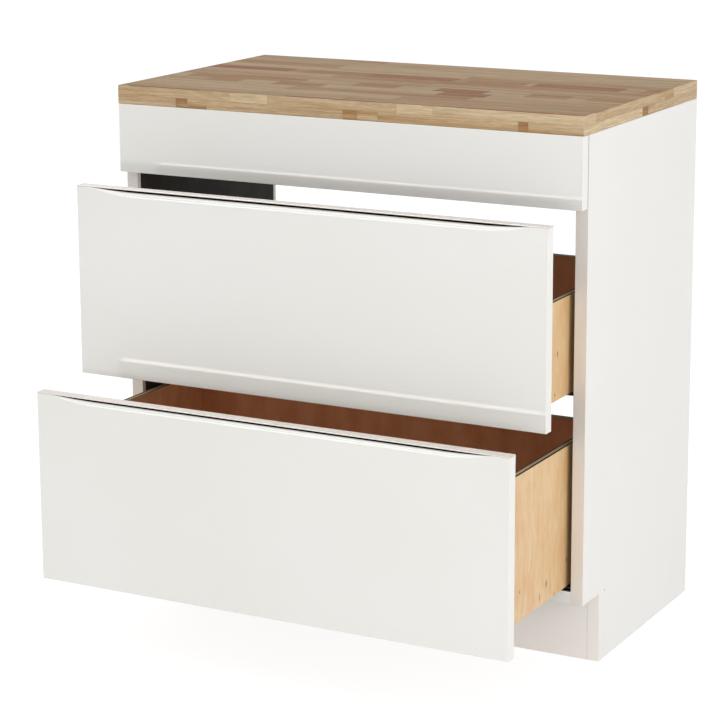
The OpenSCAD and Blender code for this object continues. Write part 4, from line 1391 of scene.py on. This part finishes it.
cam_cuts = cross_of_bars(cam_tree, arm_reach, arm_width, arm_depth, cam_top)
slot_size = add(cam_tree, "ShaderNodeCombineXYZ", {
    "X": sum_of(cam_tree, cam_in, {"Radius": 2.0, "Slot": 1.0}),
    "Y": sum_of(cam_tree, cam_in, {"Slot": 1.0}),
    "Z": sum_of(cam_tree, cam_in, {"Height": 2.0})})
slot_place = add(cam_tree, "ShaderNodeCombineXYZ", {
    "X": sum_of(cam_tree, cam_in, {"Radius": 1.0}),
    "Z": sum_of(cam_tree, cam_in, {"Height": -1.0, "Face": -1.0})})
cam_cuts.append(bar(cam_tree, slot_size, slot_place))
set_on_seats(cam_tree, cam_in, cut_away(cam_tree, cam_body, cam_cuts))
print("Cam lock tree:", len(cam_tree.nodes), "nodes")


# %% Cam locks
def cam_spot(low, high, places):
    """Seat, facing and slot direction: the face is the end of the solid with more corners."""
    size = high - low
    axis = min(range(3), key=lambda i: abs(size[i] - CAM_SIZES["Height"]))
    at_low, at_high = [
        sum(abs(p[axis] - end[axis]) < SAME_PLACE for p in places) for end in (low, high)]
    way = 1 if at_high > at_low else -1
    seat = (low + high) / 2
    seat[axis] = high[axis] if way > 0 else low[axis]
    return seat, along_axis(axis, way), along_axis(0, 1 if seat.x > 0 else -1)


cam_spots = [cam_spot(*part) for part in loose_parts("cam_locks")]
cam_locks = grow(cam_tree, "cam_locks", cam_spots, CAM_SIZES, zinc_steel)
print("Cam locks:", len(cam_spots), "with", len(cam_locks.data.polygons), "faces")

# %% [markdown]
# ## Floor, light and backdrop
# The picture stands on plain white. Studio light comes from all round: a pale world, a little
# stronger from above, and four soft lamps. Two more lamps show in the gloss alone, and draw the
# bright lines on the lacquer. Stronger lamps could make the backdrop white, but they would bleach
# the object too. So the floor is white to the camera and to mirrors, and plain paint to everything
# else. It bounces light and keeps a soft shadow.

# %% Floor
FLOOR_HALF = 14.0
FLOOR_GAP = 0.2 * MM
GLOW_STRENGTH = 0.9
SHADOW_GREY = (0.2, 0.2, 0.2, 1)
WHITE = (1, 1, 1, 1)
floor_mesh = bpy.data.meshes.new("studio_floor")
floor_mesh.from_pydata(
    [(x * FLOOR_HALF, y * FLOOR_HALF, -FLOOR_GAP) for x, y in ((-1, -1), (1, -1), (1, 1), (-1, 1))],
    [], [(0, 1, 2, 3)])
floor = bpy.data.objects.new("studio_floor", floor_mesh)
bpy.context.scene.collection.objects.link(floor)

floor_paint = bpy.data.materials.new("studio_white_paint")
floor_paint.use_nodes = True
paint_tree = floor_paint.node_tree
paint_tree.nodes.clear()
seen = add(paint_tree, "ShaderNodeLightPath")
mirrored = add(paint_tree, "ShaderNodeMath", {
    0: seen.outputs["Is Glossy Ray"], 1: seen.outputs["Is Transmission Ray"]}, operation="MAXIMUM")
shown = add(paint_tree, "ShaderNodeMath", {
    0: seen.outputs["Is Camera Ray"], 1: mirrored}, operation="MAXIMUM")
speckle = add(paint_tree, "ShaderNodeTexNoise", {
    "Vector": add(paint_tree, "ShaderNodeTexCoord").outputs["Object"], "Scale": 6.0})
paint_tone = add(paint_tree, "ShaderNodeMix", {
    "Factor": speckle, "A": linear("#F2F2F0"), "B": linear("#F5F5F3")}, data_type="RGBA")
painted = add(paint_tree, "ShaderNodeBsdfDiffuse", {"Color": paint_tone})
glow = add(paint_tree, "ShaderNodeEmission", {"Color": WHITE, "Strength": GLOW_STRENGTH})
shadow = add(paint_tree, "ShaderNodeBsdfDiffuse", {"Color": SHADOW_GREY})
lit = add(paint_tree, "ShaderNodeAddShader", {0: glow, 1: shadow})
choice = add(paint_tree, "ShaderNodeMixShader", {0: shown, 1: painted, 2: lit})
add(paint_tree, "ShaderNodeOutputMaterial", {"Surface": choice})
floor_mesh.materials.append(floor_paint)
print("Floor:", 2 * FLOOR_HALF, "m wide")

# %% World
HORIZON, ZENITH, BACKDROP = 0.49, 0.75, 1.0
world = bpy.data.worlds.new("studio_world")
world.use_nodes = True
bpy.context.scene.world = world
sky = world.node_tree
sky.nodes.clear()
direction = add(sky, "ShaderNodeTexCoord").outputs["Generated"]
height = add(sky, "ShaderNodeSeparateXYZ", {"Vector": direction}).outputs["Z"]
strength = add(sky, "ShaderNodeMapRange", {
    "Value": height, "From Min": 0.0, "From Max": 1.0, "To Min": HORIZON, "To Max": ZENITH})
path = add(sky, "ShaderNodeLightPath")
reflected = add(sky, "ShaderNodeMath", {
    0: path.outputs["Is Glossy Ray"], 1: path.outputs["Is Transmission Ray"]}, operation="MAXIMUM")
visible = add(sky, "ShaderNodeMath", {
    0: path.outputs["Is Camera Ray"], 1: reflected}, operation="MAXIMUM")
level_choice = add(sky, "ShaderNodeMix", {
    "Factor": visible, "A": strength, "B": BACKDROP}, data_type="FLOAT")
backdrop = add(sky, "ShaderNodeBackground", {"Color": WHITE, "Strength": level_choice})
add(sky, "ShaderNodeOutputWorld", {"Surface": backdrop})
print("World:", HORIZON, "at the horizon,", ZENITH, "overhead and", BACKDROP, "to the camera")


# %% Lamps
def soft_lamp(name, place, aim, size, watts, glint=False):
    """An area lamp that the camera never sees. A glint lamp only adds gloss."""
    data = bpy.data.lights.new(name, "AREA")
    data.shape = "RECTANGLE"
    data.size, data.size_y = size
    data.energy = watts
    lamp = bpy.data.objects.new(name, data)
    lamp.location = place
    lamp.rotation_euler = (Vector(aim) - Vector(place)).to_track_quat("-Z", "Y").to_euler()
    lamp.visible_camera = False
    lamp.visible_glossy = glint
    lamp.visible_diffuse = not glint
    bpy.context.scene.collection.objects.link(lamp)
    return lamp


# Each lamp: name, place and aim in metres, width and height in metres, watts.
lamps = [
    soft_lamp("lamp_front_left", (-1.7, -3.6, 1.1), (0, 0, 0.35), (1.8, 1.8), 11),
    soft_lamp("lamp_low_front", (0.7, -3.3, 0.2), (0.2, 0, 0.05), (1.8, 0.3), 19),
    soft_lamp("lamp_right", (3.4, -1.2, 1.3), (0, 0, 0.4), (1.8, 1.8), 40),
    soft_lamp("lamp_back_left", (-3.2, 2.4, 1.7), (0, 0, 0.4), (1.8, 1.8), 36),
    soft_lamp("lamp_low_glint", (-1.5, -2.8, 1.05), (0, -0.2, 0.4), (1.4, 0.6), 9, glint=True),
    soft_lamp(
        "lamp_high_glint", (-1.38, -1.43, 2.93), (0, -0.25, 0.55), (2.4, 2.4), 38, glint=True),
]
bpy.context.scene.view_settings.view_transform = "Standard"
print("Lamps:", [(lamp.name, lamp.data.energy) for lamp in lamps])
